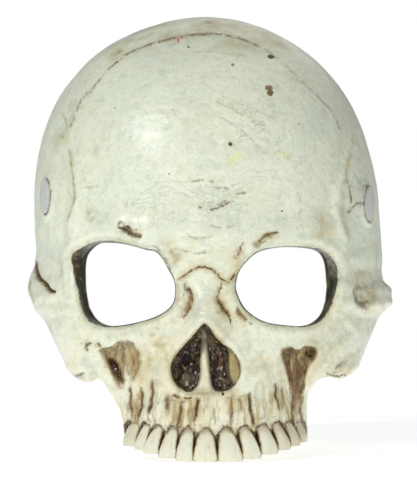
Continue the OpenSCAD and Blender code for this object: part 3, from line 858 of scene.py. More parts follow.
# Soft marks: place, half width and half height, turn, colour, strength
MARKS = [
    (11.5, 48, 2.4, 2, 0, TAN, 0.75), (13.5, 40.5, 2.8, 1.7, 20, LIME, 0.95),
    (15.5, 42.5, 2, 1.4, 0, LIME, 0.7), (39, 41.8, 4.6, 1.2, -32, LIME, 0.5),
    (26, 44, 6, 2, 15, TAN, 0.25), (-57.5, 12.5, 3, 3.4, 30, TAN, 0.6),
    (-58.5, 14.5, 1.4, 1, 0, RUST, 0.4), (56.5, 10.5, 2.4, 5.5, 0, TAN, 0.55),
    (56, 3, 6, 3.6, 0, TAN, 0.6), (60, 4.5, 3, 5, 0, TAN, 0.4),
    (-27.5, -47.5, 1.5, 1, 20, RUST, 0.5), (-24.5, -51.5, 1.4, 2, 0, TAN, 0.75),
    (58, -56, 5, 2, 25, TAN, 0.5), (52, -50, 6, 3, 25, TAN, 0.4), (70, -59, 4.5, 1.6, 28, TAN, 0.8),
    (-66, -68, 5, 1.4, -10, BROWN, 0.7), (-45, 93, 5, 2.5, 40, TAN, 0.8),
    (-44, 94, 2, 1.2, 40, BROWN, 0.5), (0.5, 107, 6, 2.2, 0, TAN, 0.7), (1, 109, 3, 1, 0, BROWN, 0.7),
    (35, 99, 6, 2.6, -35, TAN, 0.85), (37, 97.5, 2.6, 1.2, -35, BROWN, 0.55),
    (-20, 103, 6, 2, 12, TAN, 0.6), (17, 104.5, 5, 1.8, -10, TAN, 0.6),
    (66, -63.8, 3.6, 1.5, 35, BROWN, 0.5), (66, -66, 5, 1.2, 0, TAN, 0.6),
    (77.5, -18, 4.2, 3, 0, TAN, 0.6), (-20, -7, 4, 7.5, 30, RUST, 0.4),
    (-13.5, -30, 3, 8, 20, RUST, 0.35), (8.5, -31, 2.6, 8, -15, TAN, 0.6),
    (62, -53, 6, 3.4, 25, TAN, 0.5), (31, 1.6, 5, 2.2, 25, TAN, 0.5), (28, -83, 3.4, 7, 0, IVORY, 0.6),
    (-76, -41, 8, 7, 0, SHADE, 0.35), (-1, -31, 6, 8, 0, SHADE, 0.3), (57, -50, 8, 5, 0, SHADE, 0.3),
    (-20, -45, 9, 4, 0, SHADE, 0.25), (-50, 52, 9, 12, 0, SHADE, 0.2), (-5, 60, 10, 8, 0, CREAM, 0.35),
    (28, 22, 9, 6, 0, CREAM, 0.4), (-30, 12, 9, 3, 0, CREAM, 0.5),
]
# Soft painted lines: points, colour, width, strength
LINES = [
    ([(-22, -3), (-17, -8), (-15, -12)], TAN, 2.4, 0.65),
    ([(13.5, -10), (15, -6), (17.5, -4)], RUST, 1.5, 0.6),
    ([(-67, 46), (-66.5, 34), (-65.5, 22), (-68, 10)], TAN, 1, 0.5),
    ([(70, 44), (69, 33), (67, 26)], TAN, 1.2, 0.7),
    ([(67.5, 27), (67, 16), (68.5, 6), (70, -2)], TAN, 1.8, 0.5),
    ([(-75.5, -8), (-73, -15), (-73.5, -20)], TAN, 1.5, 0.6),
    ([(-85, -32), (-88, -24), (-89, -17)], TAN, 1.6, 0.45),
    ([(61, -58), (56, -62), (53, -66), (50.5, -74)], TAN, 1.8, 0.5),
    ([(66, -67.5), (72, -63.5), (77, -57)], TAN, 1.4, 0.7),
    ([(-23, -52), (-20, -58), (-19.5, -66)], TAN, 1.4, 0.5),
    ([(18.5, -44), (21, -50), (20, -56)], TAN, 1.4, 0.5),
    ([(-12, -43), (-15, -49), (-18.5, -54)], CREAM, 1.6, 0.8), ([(-90, -33), (-86, -36)], BROWN, 0.8, 0.6),
    ([(87.5, -19), (90.5, -23)], RUST, 0.8, 0.6), ([(-6, -79), (-12, -80.5), (-18, -79)], TAN, 1.8, 0.6),
    ([(8, -80), (15, -80.5), (21, -78)], TAN, 1.8, 0.6),
    ([(-28, -57), (-30, -66), (-29, -74)], TAN, 1.6, 0.4),
    ([(26, -58), (30, -66), (31, -76)], TAN, 1.6, 0.35),
    ([(-86, -38), (-79, -52), (-69, -65)], SHADE, 3.2, 0.55),
    ([(84, -36), (79, -48), (74, -58)], SHADE, 2.6, 0.4),
    ([(27, -60), (32, -69), (37, -79)], SHADE, 2.6, 0.6),
    ([(-24, -60), (-26, -68), (-26, -75)], SHADE, 3, 0.4),
    ([(-62, -57), (-57, -67), (-54, -76)], SHADE, 3.2, 0.55),
    ([(-4, -26), (-4.5, -34), (-8, -44)], SHADE, 2, 0.35), ([(-8, -88), (-7.6, -80)], TAN, 1.3, 0.5),
    ([(-34, -62), (-33, -72), (-34, -82)], TAN, 1.8, 0.5),
    ([(36, -56), (37, -68), (38.5, -80)], TAN, 1.6, 0.55),
    ([(-30, -44), (-40, -46), (-52, -49)], SHADE, 1.8, 0.4),
]
# Crisp spots for the shader: place, half width and half height, colour
SPOTS = [
    (32, 91.6, 1.9, 1.2, BLACK), (31, 76, 2, 1.7, srgb(132, 106, 70)),
    (31.6, 73.6, 1.7, 1.8, srgb(110, 80, 48)), (13, 87.6, 0.9, 0.8, srgb(150, 128, 88)),
    (11.6, 48, 1, 1, DARK), (-9.3, 96.6, 0.6, 0.6, DARK), (-14.4, 99.8, 0.5, 1.7, srgb(205, 96, 74)),
    (8, -76.8, 0.75, 0.75, BLACK), (46, 58, 0.4, 0.4, BROWN), (-46, 66, 0.4, 0.4, BROWN),
    (37.5, 14.5, 0.5, 0.5, DARK), (-19, 33, 0.4, 0.4, BROWN),
]
# Sutures and cracks, and dark lines that are painted shade under the hollows' top edges, along the left
# arch's outer edge and along the left cheek's lower edge (there partly brown stain), drawn crisply by the
# shader: points, strength
CRACKS = [
    (CORONAL_SUTURE[:5], 0.5), (CORONAL_SUTURE[4:12], 0.8), (CORONAL_SUTURE[11:], 0.4),
    (FRONTAL_SUTURE, 1), (LEFT_SLIT, 1), ([(-17.5, -77.3), (-13, -79), (-7.5, -79)], 0.9),
    ([(9, -79), (15, -79.3), (20, -77)], 0.45), ([(14.1, -58), (15.9, -62), (16.6, -67.5)], 0.9),
    ([(-68.5, 46), (-66.5, 34), (-65.5, 21), (-68.5, 8)], 0.35),
    ([(69, 31), (71, 26), (72, 19), (70.5, 13)], 0.7), ([(72, 15.5), (75.5, 18.8), (78, 18.5)], 0.6),
    ([(8.3, -20.5), (5.4, -28), (7.5, -33.5), (10.6, -37.5), (12.6, -44)], 1),
    ([(-9.8, -24), (-7.4, -28), (-8.3, -33.5), (-12.4, -39.5)], 0.9),
    ([(-12.6, -21), (-11, -24.5), (-12, -29)], 0.6), ([(14.5, -33), (18, -38), (22.5, -42.5)], 0.55),
    ([(-43, 9.2), (-38.5, 6.4), (-34, 4.6)], 1), ([(-43.6, 6.8), (-39, 4.8), (-34.4, 1.8)], 1),
    ([(-41, 9.4), (-38.6, 4), (-36.4, 2.4)], 0.9), ([(-38.8, 7.4), (-35.4, 3.4), (-31.8, 1.8)], 1),
    ([(35, 4), (29.4, 3.1), (26.4, 0.8), (25.2, -2)], 0.9),
    ([(-4.5, 16.4), (2, 15.2), (8, 17.3), (14, 19.4)], 0.75), ([(0, 18.5), (6, 18.2), (11, 20.4)], 0.4),
    ([(-8, 29.5), (-1, 30), (4, 29)], 0.45), ([(8, 24.2), (14, 23), (20, 23.8)], 0.5),
    ([(4, 26.5), (11, 26)], 0.3), ([(3.5, 69.5), (16, 63), (30, 53)], 0.2),
    ([(6, 72.5), (20, 66), (34, 60)], 0.15), ([(10, 68.5), (22, 61), (33, 50.5)], 0.15),
    ([(2, 63), (14, 57), (25, 48)], 0.18), ([(14, 50.5), (20, 52), (25, 47), (30, 42)], 0.22),
    ([(-14, -5), (-6, -6.5), (0, -6)], 0.45), ([(-10, 2), (-4, 1), (3, 2)], 0.3),
    ([(2, 7), (8, 6), (14, 7.5)], 0.3), ([(15, -7.5), (17, -3), (18, -0.5)], 0.8),
    ([(-61, 26), (-54, 27.2)], 0.3), ([(-72.5, 64), (-70, 58), (-72, 50)], 0.35),
    # painted shadow: the next two lines run under the top edges of the left and right hollows
    ([(-52.5, -54.8), (-47.5, -53.8), (-44.4, -51.2), (-39.5, -50.7), (-36, -52.7)], 0.75),
    ([(37.2, -54.6), (41, -53.6), (45, -55.2), (49, -53.4), (53.4, -54.2)], 0.85),
    ([(40.4, -55), (41.4, -64), (43.2, -74), (43.2, -86)], 0.8),
    ([(47.6, -58), (46.6, -68), (46, -76)], 0.6), ([(-35.2, -56), (-34.4, -64), (-37.4, -70)], 0.5),
    ([(-41.6, -53.5), (-40.8, -60), (-39, -68)], 0.45),
    ([(38.2, -55), (39.2, -60), (41, -68), (42.2, -78)], 0.9), ([(-50.4, -57), (-48.2, -61.5)], 0.9),
    ([(49.2, -54.2), (49.8, -57.6), (53, -58.4)], 1), ([(44.6, -56.5), (44.8, -66), (45.6, -80)], 0.6),
    ([(49.4, -62), (48.6, -70), (47.2, -84)], 0.8), ([(59.5, -66.4), (64, -67.8), (69.5, -67.2)], 0.8),
    ([(62.6, -65.6), (66, -62.4), (70, -60.4)], 0.55),
    # painted shade: a thin dark line along the left arch's outer edge
    ([(-87.4, -20), (-89.4, -29), (-88.4, -37), (-85, -45)], 0.5),
    # a dark line along the left cheek's lower edge: partly brown stain, partly painted shade
    ([(-71, -67.4), (-66, -68), (-61, -66.4)], 0.7),
    ([(73.4, -24), (74.6, -29), (78, -31.6), (81.5, -30)], 0.7),
    ([(-26.6, -2), (-21.4, -8.4), (-18, -15)], 0.4), ([(29.6, 0.4), (26.2, -1.4), (24.2, -4)], 0.8),
    ([(45, 24), (47, 18), (45.6, 12)], 0.25),
    ([(-55.6, -51.8), (-58.4, -52), (-59.2, -54), (-57.6, -55.4)], 0.7),
    ([(-53.6, -51), (-52.2, -53.4)], 0.9),
]
# The shader draws lines out to LINE_REACH from them; round each cap on its pad, at the radius set below,
# it draws a dark ring that is painted shadow where the cap meets the latex
LINE_REACH = 2.6
CAP_SHADOW_RING, RING_DEPTH = 8.75, 12.0


class Paint:
    """Colours built up stain by stain: ground, the face's own, and deep, that down in its holes."""

    def __init__(self, place, masks):
        self.place, self.masks = place, masks
        self.colour = np.tile(IVORY, (len(place.u), 1))
        self.cloud = noise(place.p, 9.0, 22, 3)
        self.fleck = noise(place.p, 2.2, 23, 2)
        self.low_face = smooth((-8 - place.w) / 30)
        self.gum_zone = smooth((-74 - place.w) / 6) * smooth((46 - np.abs(place.u)) / 8)
        low_end = 1 - 0.75 * smooth((-77 - place.w) / 9) * (place.u > 0)
        self.hollow = smooth((masks["hollow"] + 0.4) / 1.2) * masks["open_end"] * low_end
        self.mottle()
        self.placed_marks()
        self.roots()
        self.cuts()
        self.arches()
        self.hollows()
        self.rims()
        self.ground = self.colour
        self.holes()
        self.deep = self.colour

    def stain(self, target, amount):
        self.colour = mix(self.colour, target, np.clip(amount, 0, 1)[:, None])

    def mottle(self):
        """Clouds of ivory, cream and tan."""
        stain, bump, cloud, fleck = self.stain, self.place.bump, self.cloud, self.fleck
        low_face, gum_zone, ribs = self.low_face, self.gum_zone, self.masks["ribs"]
        w, a = self.place.w, np.abs(self.place.u)
        patch = noise(self.place.p, 24.0, 21, 2)
        # darker drab towards the crown and towards the upper sides
        stain(DRAB, 0.62 * smooth((w - 84) / 24) * smooth(0.75 + cloud))
        stain(DRAB, 0.35 * smooth((a - 40) / 45) * smooth((w - 5) / 30))
        stain(COOL, 0.55 * smooth(0.5 + patch) * (1 - 0.6 * low_face))
        stain(COOL, 0.5 * smooth((a - 60) / 22))
        stain(CREAM, 0.42 * low_face * smooth(0.5 + cloud))
        stain(CREAM, 0.55 * bump(0, -4, 22, 12) * smooth(0.45 + cloud))
        stain(CREAM, 0.8 * bump(0, -78, 50, 22) * smooth(0.6 + cloud))
        stain(TAN, 0.30 * bump(0, -84, 46, 10) * smooth((cloud - 0.05) / 0.4))
        stain(TAN, 0.26 * bump(-22, -2, 16, 7) * smooth((cloud + 0.1) / 0.4))
        stain(TAN, 0.30 * (bump(-16, -16, 4, 10) + bump(14.5, -15, 4, 10)) * smooth(0.6 + cloud))
        stain(TAN, 0.22 * smooth((w - 88) / 12) * smooth((cloud + 0.2) / 0.5))
        stain(TAN, 0.35 * smooth((a - 56) / 10) * smooth((w - 40) / 10) * smooth((cloud - 0.15) / 0.3))
        stain(TAN, 0.6 * smooth((fleck - 0.36) / 0.2) * smooth(cloud + 0.45) * mix(0.35, 1, low_face))
        stain(TAN, 0.5 * (bump(-19, -8, 6, 9, 30) + bump(17, -10, 4, 8, -20))
              * smooth((cloud + 0.3 * fleck + 0.25) / 0.4))
        stain(TAN, 0.5 * bump(-28, -56, 7, 12) * smooth((cloud + 0.5 * fleck - 0.05) / 0.35))
        stain(TAN, 0.4 * bump(27, -52, 6, 9) * smooth((cloud + 0.5 * fleck) / 0.35))
        stain(TAN, 0.75 * gum_zone * smooth((0.02 - ribs) / 0.25) * smooth(0.75 + cloud))
        stain(RUST, 0.5 * gum_zone * smooth((-ribs - 0.22 + 0.3 * cloud) / 0.2))
        stain(TAN, 0.35 * smooth((w - 92) / 10) * smooth((cloud + 0.4 * fleck) / 0.4))

    def placed_marks(self):
        for *place, target, strength in MARKS:
            ragged = smooth(0.75 + 0.9 * self.fleck) if place[2] > 1.2 else 1.0
            self.stain(target, strength * self.place.bump(*place) * ragged)
        for points, target, width, strength in LINES:
            ragged = smooth(0.75 + 0.8 * self.fleck)
            self.stain(target, strength * self.place.stroke(points, width) * ragged)

    def roots(self):
        """Grooves between the roots of the teeth, and the border over the teeth."""
        stain, cloud, fleck, m = self.stain, self.cloud, self.fleck, self.masks
        for line, weight in ROOT_GROOVES:
            stain(TAN, 0.5 * weight * self.place.stroke(line, 2.4, 0.3) * smooth(0.7 + cloud))
        stain(RUST, 0.95 * m["grooves"] * smooth(0.85 + 0.7 * fleck))
        stain(BROWN, 0.95 * smooth((m["grooves"] - 0.35 + 0.25 * fleck) / 0.35))
        stain(DARK, 0.5 * smooth((m["grooves"] - 0.75 + 0.25 * fleck) / 0.35))
        stain(RUST, 0.5 * m["under_nose"] * smooth(0.7 + fleck))
        stain(TAN, 0.5 * band(m["oval"], 0, 0.9))
        stain(TAN, 0.5 * band(m["below"], -0.8, 1.3) * smooth(0.5 + cloud))
        stain(BROWN, 0.85 * smooth((m["below"] - 0.15 + 0.4 * fleck) / 0.35))
        # below the border, seen only in the gaps between the teeth: partly dark brown paint, partly
        # painted shade in those gaps
        stain(srgb(58, 32, 18), 0.8 * smooth((m["below"] - 0.5) / 0.7))

    def cuts(self):
        """Cuts in the brow, grooves beside the nose, and the suture over it."""
        stain, stroke, bump = self.stain, self.place.stroke, self.place.bump
        cloud, fleck, m = self.cloud, self.fleck, self.masks
        cut, nasal = m["brow_cut"], m["nasal"]
        stain(TAN, 0.7 * stroke(LEFT_BROW_PIT, 2.6, 0.2) * smooth(0.7 + fleck))
        stain(BROWN, 0.9 * smooth(cut / 0.15) * smooth((cut + 0.9 * fleck - 0.3) / 0.3))
        stain(DARK, 0.8 * smooth((cut - 0.5 + 0.5 * fleck) / 0.3))
        stain(TAN, 0.75 * m["right_cut"])
        stain(RUST, 0.5 * m["right_cut"] * smooth((fleck + 0.1) / 0.3))
        stain(BROWN, 0.9 * stroke(RIGHT_BROW_GROOVE[:3], 0.55) + 0.5 * bump(24, -2, 1.6, 1.4))
        for line in NASAL_GROOVES:
            stain(TAN, 0.75 * stroke(line, 2.8, 0.3) * smooth(0.75 + cloud))
        stain(RUST, 0.8 * smooth(nasal / 0.25) * smooth((nasal + 0.7 * fleck - 0.35) / 0.35))
        stain(BROWN, 0.6 * smooth(nasal / 0.25) * smooth((nasal + 0.9 * fleck - 0.75) / 0.3))
        stain(TAN, 0.7 * stroke(FRONTAL_SUTURE, 1.8))
        stain(BROWN, 0.7 * m["curl"])

    def arches(self):
        """The slit in the left arch and the pit in the right one."""
        stain, stroke, bump = self.stain, self.place.stroke, self.place.bump
        cloud, fleck, m = self.cloud, self.fleck, self.masks
        stain(TAN, 0.45 * stroke(LEFT_SLIT, 2.4, 0.1) * smooth(0.6 + cloud))
        stain(BROWN, 0.9 * smooth((m["slit"] - 0.3 + 0.2 * fleck) / 0.3))
        stain(DARK, 0.9 * smooth((m["slit"] - 0.55) / 0.25))
        in_pit = smooth((m["pit"] + 0.8) / 2.0)
        stain(srgb(178, 170, 126), 0.75 * in_pit * smooth(0.6 + 1.2 * cloud + 0.8 * fleck))
        stain(TAN, 0.5 * bump(77, -22, 3.5, 4) * smooth(0.4 + fleck))
        stain(RUST, 0.6 * (bump(79, -22.5, 3.4, 2.6) + bump(76.5, -30, 3.0, 2.2))
              * smooth(0.45 + 1.5 * fleck))
        corner = stroke([(73.6, -29), (76, -32), (80, -32.6)], 1.6)
        stain(BROWN, 0.65 * corner * smooth((corner + 0.8 * fleck - 0.2) / 0.3))

    def hollows(self):
        """The hollows under the cheekbones and the slot in the left one."""
        stain, stroke, bump = self.stain, self.place.stroke, self.place.bump
        u, w, cloud, fleck, m = self.place.u, self.place.w, self.cloud, self.fleck, self.masks
        inside, streaks = self.hollow, m["streaks"]
        to_right = smooth((u + 10) / 20)
        stain(TAN, 0.35 * smooth((m["hollow"] + 3.5) / 4) * smooth(0.4 + cloud) * m["open_end"])
        stain(TAN, inside * mix(0.72, 0.88, to_right))
        stain(srgb(152, 120, 68), inside * mix(0.3, 0.55, to_right) * smooth(0.7 + cloud))
        stain(RUST, 0.7 * inside * smooth((streaks + 0.05) / 0.4) * smooth((-50 - w) / 8))
        stain(BROWN, 0.75 * inside * smooth((streaks - 0.12) / 0.3))
        # painted shade: brown just inside the hollows' outline on their upper part, under the edge
        stain(BROWN, 0.75 * band(m["hollow"], 0.3, 0.8) * smooth((w + 66) / 8) * smooth(0.6 + fleck))
        # the two pits at the right hollow's top: partly dark paint, partly painted shade in them
        stain(DARK, 0.8 * (bump(41.3, -56, 1.5, 2.2) + bump(51.8, -55.8, 2.2, 1.5, 15))
              * smooth(0.9 + fleck))
        streak = stroke([(-51, -57.5), (-48.5, -64), (-44.5, -71.5), (-42, -76)], 2.0)
        stain(RUST, 0.6 * streak * smooth(0.8 + fleck))
        stain(RUST, 0.7 * smooth((m["slot_d"] + 1.6 + 0.8 * fleck) / 1.2))
        stain(BROWN, 0.7 * smooth((m["slot_d"] + 0.7 + 0.5 * fleck) / 0.6))
        stain(BROWN, 0.75 * bump(52, -55.5, 2.4, 1.6, 20)
              + 0.8 * stroke([(45, -62), (45.5, -70), (44, -80)], 1.0))
        for target, strength, points, *shape in (
            (RUST, 0.7, [(41, -56), (41.5, -64), (43, -74), (43.3, -86)], 1.1),
            (srgb(64, 28, 17), 0.9, [(43.8, -60.5), (45, -66), (44.6, -72), (43.6, -77)], 1.0, 0.12),
            (srgb(70, 36, 20), 0.7, [(37.4, -56), (38.6, -61), (40.6, -68)], 0.8, 0.12),
            (BROWN, 0.5, [(49, -58), (48, -66), (47, -76)], 0.9),
            (TAN, 0.5, [(-35, -58), (-34.5, -66), (-38, -72)], 1.6),
        ):
            stain(target, strength * stroke(points, *shape))

    def rims(self):
        """Outlines of the nose and the orbits, the septum, and the dark top of the nose."""
        stain, cloud, m = self.stain, self.cloud, self.masks
        stain(TAN, 0.7 * band(m["nose"], -0.3, 1.0) * smooth(0.6 + cloud))
        stain(TAN, 0.5 * band(m["rim"], -0.5, 0.9) * smooth(0.5 + cloud))
        stain(CREAM, 0.6 * m["septum"] * smooth(m["nose"]))
        stain(OLIVE, 0.8 * smooth((self.place.w + 57) / 7) * smooth((m["nose"] - 0.4) / 1.0))

    def holes(self):
        """Orbit walls, nose recess and slot; the shader cuts them off sharply at their outlines."""
        stain, cloud, fleck, m = self.stain, self.cloud, self.fleck, self.masks
        by_nose = smooth((m["nose"] + 2.0) / 1.0)
        by_eye = 1 - by_nose
        stain(OLIVE, by_eye)
        stain(TAN, 0.45 * smooth((0.9 - m["rim"] + 0.8 * fleck) / 0.8) * by_eye * smooth(0.4 + cloud))
        stain(BROWN, 0.45 * by_eye * smooth((cloud + 0.05) / 0.3) * (1 - m["share"]))
        stain(BLACK, 0.92 * smooth((m["share"] - 0.34 + 0.12 * cloud) / 0.35) * by_eye)
        stain(srgb(25, 15, 10), by_nose)
        stain(BLACK, by_nose * smooth((0.26 - m["rough"]) / 0.10))
        stain(RUST, by_nose * 0.9 * smooth((m["rough"] - 0.42) / 0.10))
        stain(TAN, 0.85 * m["step"] * by_nose)
        stain(OLIVE, 0.85 * smooth((self.place.w + 53) / 6) * by_nose)
        stain(srgb(54, 20, 16), smooth((m["slot_d"] + 2.4) / 0.8))
        stain(BLACK, 0.8 * smooth((m["slot_d"] - 0.4 + 0.5 * fleck) / 0.6))

    def finish(self):
        """How wet, speckled, grained and scratched the shader makes each place."""
        bump, m, inside = self.place.bump, self.masks, self.hollow
        wet = m["recess"] * (1 - m["step"]) + 0.8 * smooth((m["slot"] - 0.3) / 0.4) + 0.28 * inside
        speckle = 0.16 + 0.42 * self.low_face + 0.4 * inside
        grain = inside + 0.65 * self.gum_zone + 0.15 * m["recess"] + 0.5 * m["step"]
        grain = np.clip(grain, 0, 1)
        scratched = 0.3 + bump(26, 55, 16, 16) + bump(8, 22, 20, 12) + 0.6 * bump(-30, 20, 20, 12)
        scratched = scratched * (1 - grain) * smooth((self.place.w + 60) / 20)
        finish = {"wet": wet, "speckle": speckle, "grain": grain, "scratched": scratched}
        return {key: np.clip(value, 0, 1) for key, value in finish.items()}


def thin_lines(place, skin):
    """Signed distance to the nearest suture, crack, edge line, gum border or cap ring, and how strong it
    is there; the cap rings and some edge lines are painted shade.
    """
    u, w = place.u, place.w
    signed = np.full(u.shape, LINE_REACH)
    strength = np.zeros(u.shape)

    def keep_nearest(distance, weight):
        closer = np.abs(distance) < np.abs(signed)
        reached = 1 - smooth((np.abs(distance) - 1.6) / 0.9)
        return np.where(closer, distance, signed), np.where(closer, weight * reached, strength)

    grooves = [(line, min(1.0, 0.85 * weight)) for line, weight in ROOT_GROOVES]
    for points, weight in CRACKS + grooves:
        line = spline(points)
        dist, along = line_distance(u, w, line, LINE_REACH)
        k = np.clip((along * (len(line) - 1)).astype(int), 0, len(line) - 2)
        from_start = np.stack([u, w], -1) - line[k]
        direction = line[k + 1] - line[k]
        left = direction[..., 0] * from_start[..., 1] >= direction[..., 1] * from_start[..., 0]
        ends = smooth(along / 0.04) * smooth((1 - along) / 0.04)
        signed, strength = keep_nearest(np.where(left, dist, -dist), weight * ends)
    slope = (gum_height(u + 0.2) - gum_height(u - 0.2)) / 0.4
    gum = (gum_height(u) - w) / np.sqrt(1 + slope**2)
    signed, strength = keep_nearest(gum + 0.1, np.abs(u) < 50)
    # painted shadow: a dark ring round each cap, where it meets the latex
    for pad in PADS:
        radius, level = from_pad(skin, pad)
        ring = np.where(np.abs(level) < RING_DEPTH, radius - CAP_SHADOW_RING, FAR)
        signed, strength = keep_nearest(ring, 0.75)
    return signed, strength


# ---------------------------------------------------------------- making objects
def make_mesh(name, points, faces, material, attributes=None):
    """A smooth mesh object from points in millimetres."""
    mesh = bpy.data.meshes.new(name)
    mesh.from_pydata((np.asarray(points) * MM).tolist(), [], [list(map(int, f)) for f in faces])
    for key, values in (attributes or {}).items():
        values = np.asarray(values, np.float32)
        if values.ndim == 2:
            layer = mesh.attributes.new(key, "FLOAT_COLOR", "POINT")
            opaque = np.ones((len(values), 1), np.float32)
            layer.data.foreach_set("color", np.hstack([values, opaque]).ravel())
        else:
            layer = mesh.attributes.new(key, "FLOAT", "POINT")
            layer.data.foreach_set("value", values)
    mesh.polygons.foreach_set("use_smooth", [True] * len(mesh.polygons))
    mesh.materials.append(material)
    mesh.update()
    obj = bpy.data.objects.new(name, mesh)
    bpy.context.scene.collection.objects.link(obj)
    return obj


def stacked_faces(rings, around, closed=False, flip=False):
    """Faces between stacked rings of points, with a cap at each end unless they close on themselves."""
    faces = []
    for i in range(rings if closed else rings - 1):
        low, high = i * around, (i + 1) % rings * around
        for j in range(around):
            k = (j + 1) % around
            if flip:
                faces.append((low + j, high + j, high + k, low + k))
            else:
                faces.append((low + j, low + k, high + k, high + j))
    if not closed:
        first, last = tuple(range(around)), tuple(range((rings - 1) * around, rings * around))
        faces += [first, last[::-1]] if flip else [first[::-1], last]
    return faces


class Value:
    """A value in a shader, on which arithmetic adds Math nodes."""

    def __init__(self, graph, socket):
        self.graph, self.socket = graph, socket

    def __add__(self, other):
        return self.graph.math("ADD", self, other)

    def __sub__(self, other):
        return self.graph.math("SUBTRACT", self, other)

    def __rsub__(self, other):
        return self.graph.math("SUBTRACT", other, self)

    def __mul__(self, other):
        return self.graph.math("MULTIPLY", self, other)

    def __abs__(self):
        return self.graph.math("ABSOLUTE", self, 0.0)


class Graph:
    """A short way to write a material's shader nodes."""

    def __init__(self, name):
        self.material = bpy.data.materials.new(name)
        self.material.use_nodes = True
        self.tree = self.material.node_tree

    def put(self, socket, value):
        if isinstance(value, Value):
            self.tree.links.new(value.socket, socket)
        else:
            socket.default_value = value

    def node(self, kind, output, inputs, **settings):
        node = self.tree.nodes.new(kind)
        for key, value in settings.items():
            setattr(node, key, value)
        for key, value in inputs.items():
            self.put(node.inputs[key], value)
        return Value(self, node.outputs[output])

    def attribute(self, name, kind="Fac"):
        return self.node("ShaderNodeAttribute", kind, {}, attribute_name=name)

    def position(self):
        return self.node("ShaderNodeTexCoord", "Object", {})

    def stretched(self, x, y, z):
        return self.node("ShaderNodeMapping", 0, {"Vector": self.position(), "Scale": (x, y, z)})

    def noise(self, scale, detail=3.0, rough=0.6, vector=None, distortion=0.0):
        inputs = {"Scale": scale, "Detail": detail, "Roughness": rough, "Distortion": distortion}
        return self.node("ShaderNodeTexNoise", "Fac", {"Vector": vector or self.position(), **inputs})

    def math(self, operation, a, b, clamp=False):
        return self.node("ShaderNodeMath", 0, {0: a, 1: b}, operation=operation, use_clamp=clamp)

    def vector(self, operation, output, a, b):
        return self.node("ShaderNodeVectorMath", output, {0: a, 1: b}, operation=operation)

    def ramp(self, value, low, high, to_low=0.0, to_high=1.0):
        inputs = {"Value": value, "From Min": low, "From Max": high, "To Min": to_low, "To Max": to_high}
        return self.node("ShaderNodeMapRange", 0, inputs, interpolation_type="SMOOTHSTEP")

    def blend(self, share, *colours, mode="MIX"):
        """A mix of two colours, each a Value or red, green and blue."""
        a, b = (c if isinstance(c, Value) else (*map(float, c), 1.0) for c in colours)
        inputs = {0: share, 6: a, 7: b}
        return self.node("ShaderNodeMix", 2, inputs, data_type="RGBA", blend_type=mode)

    def bump(self, height, distance, strength, **normal):
        inputs = {"Height": height, "Distance": distance, "Strength": strength, **normal}
        return self.node("ShaderNodeBump", 0, inputs)

    def shade(self, **inputs):
        for key, value in inputs.items():
            self.put(self.tree.nodes["Principled BSDF"].inputs[key.replace("_", " ")], value)
        return self.material


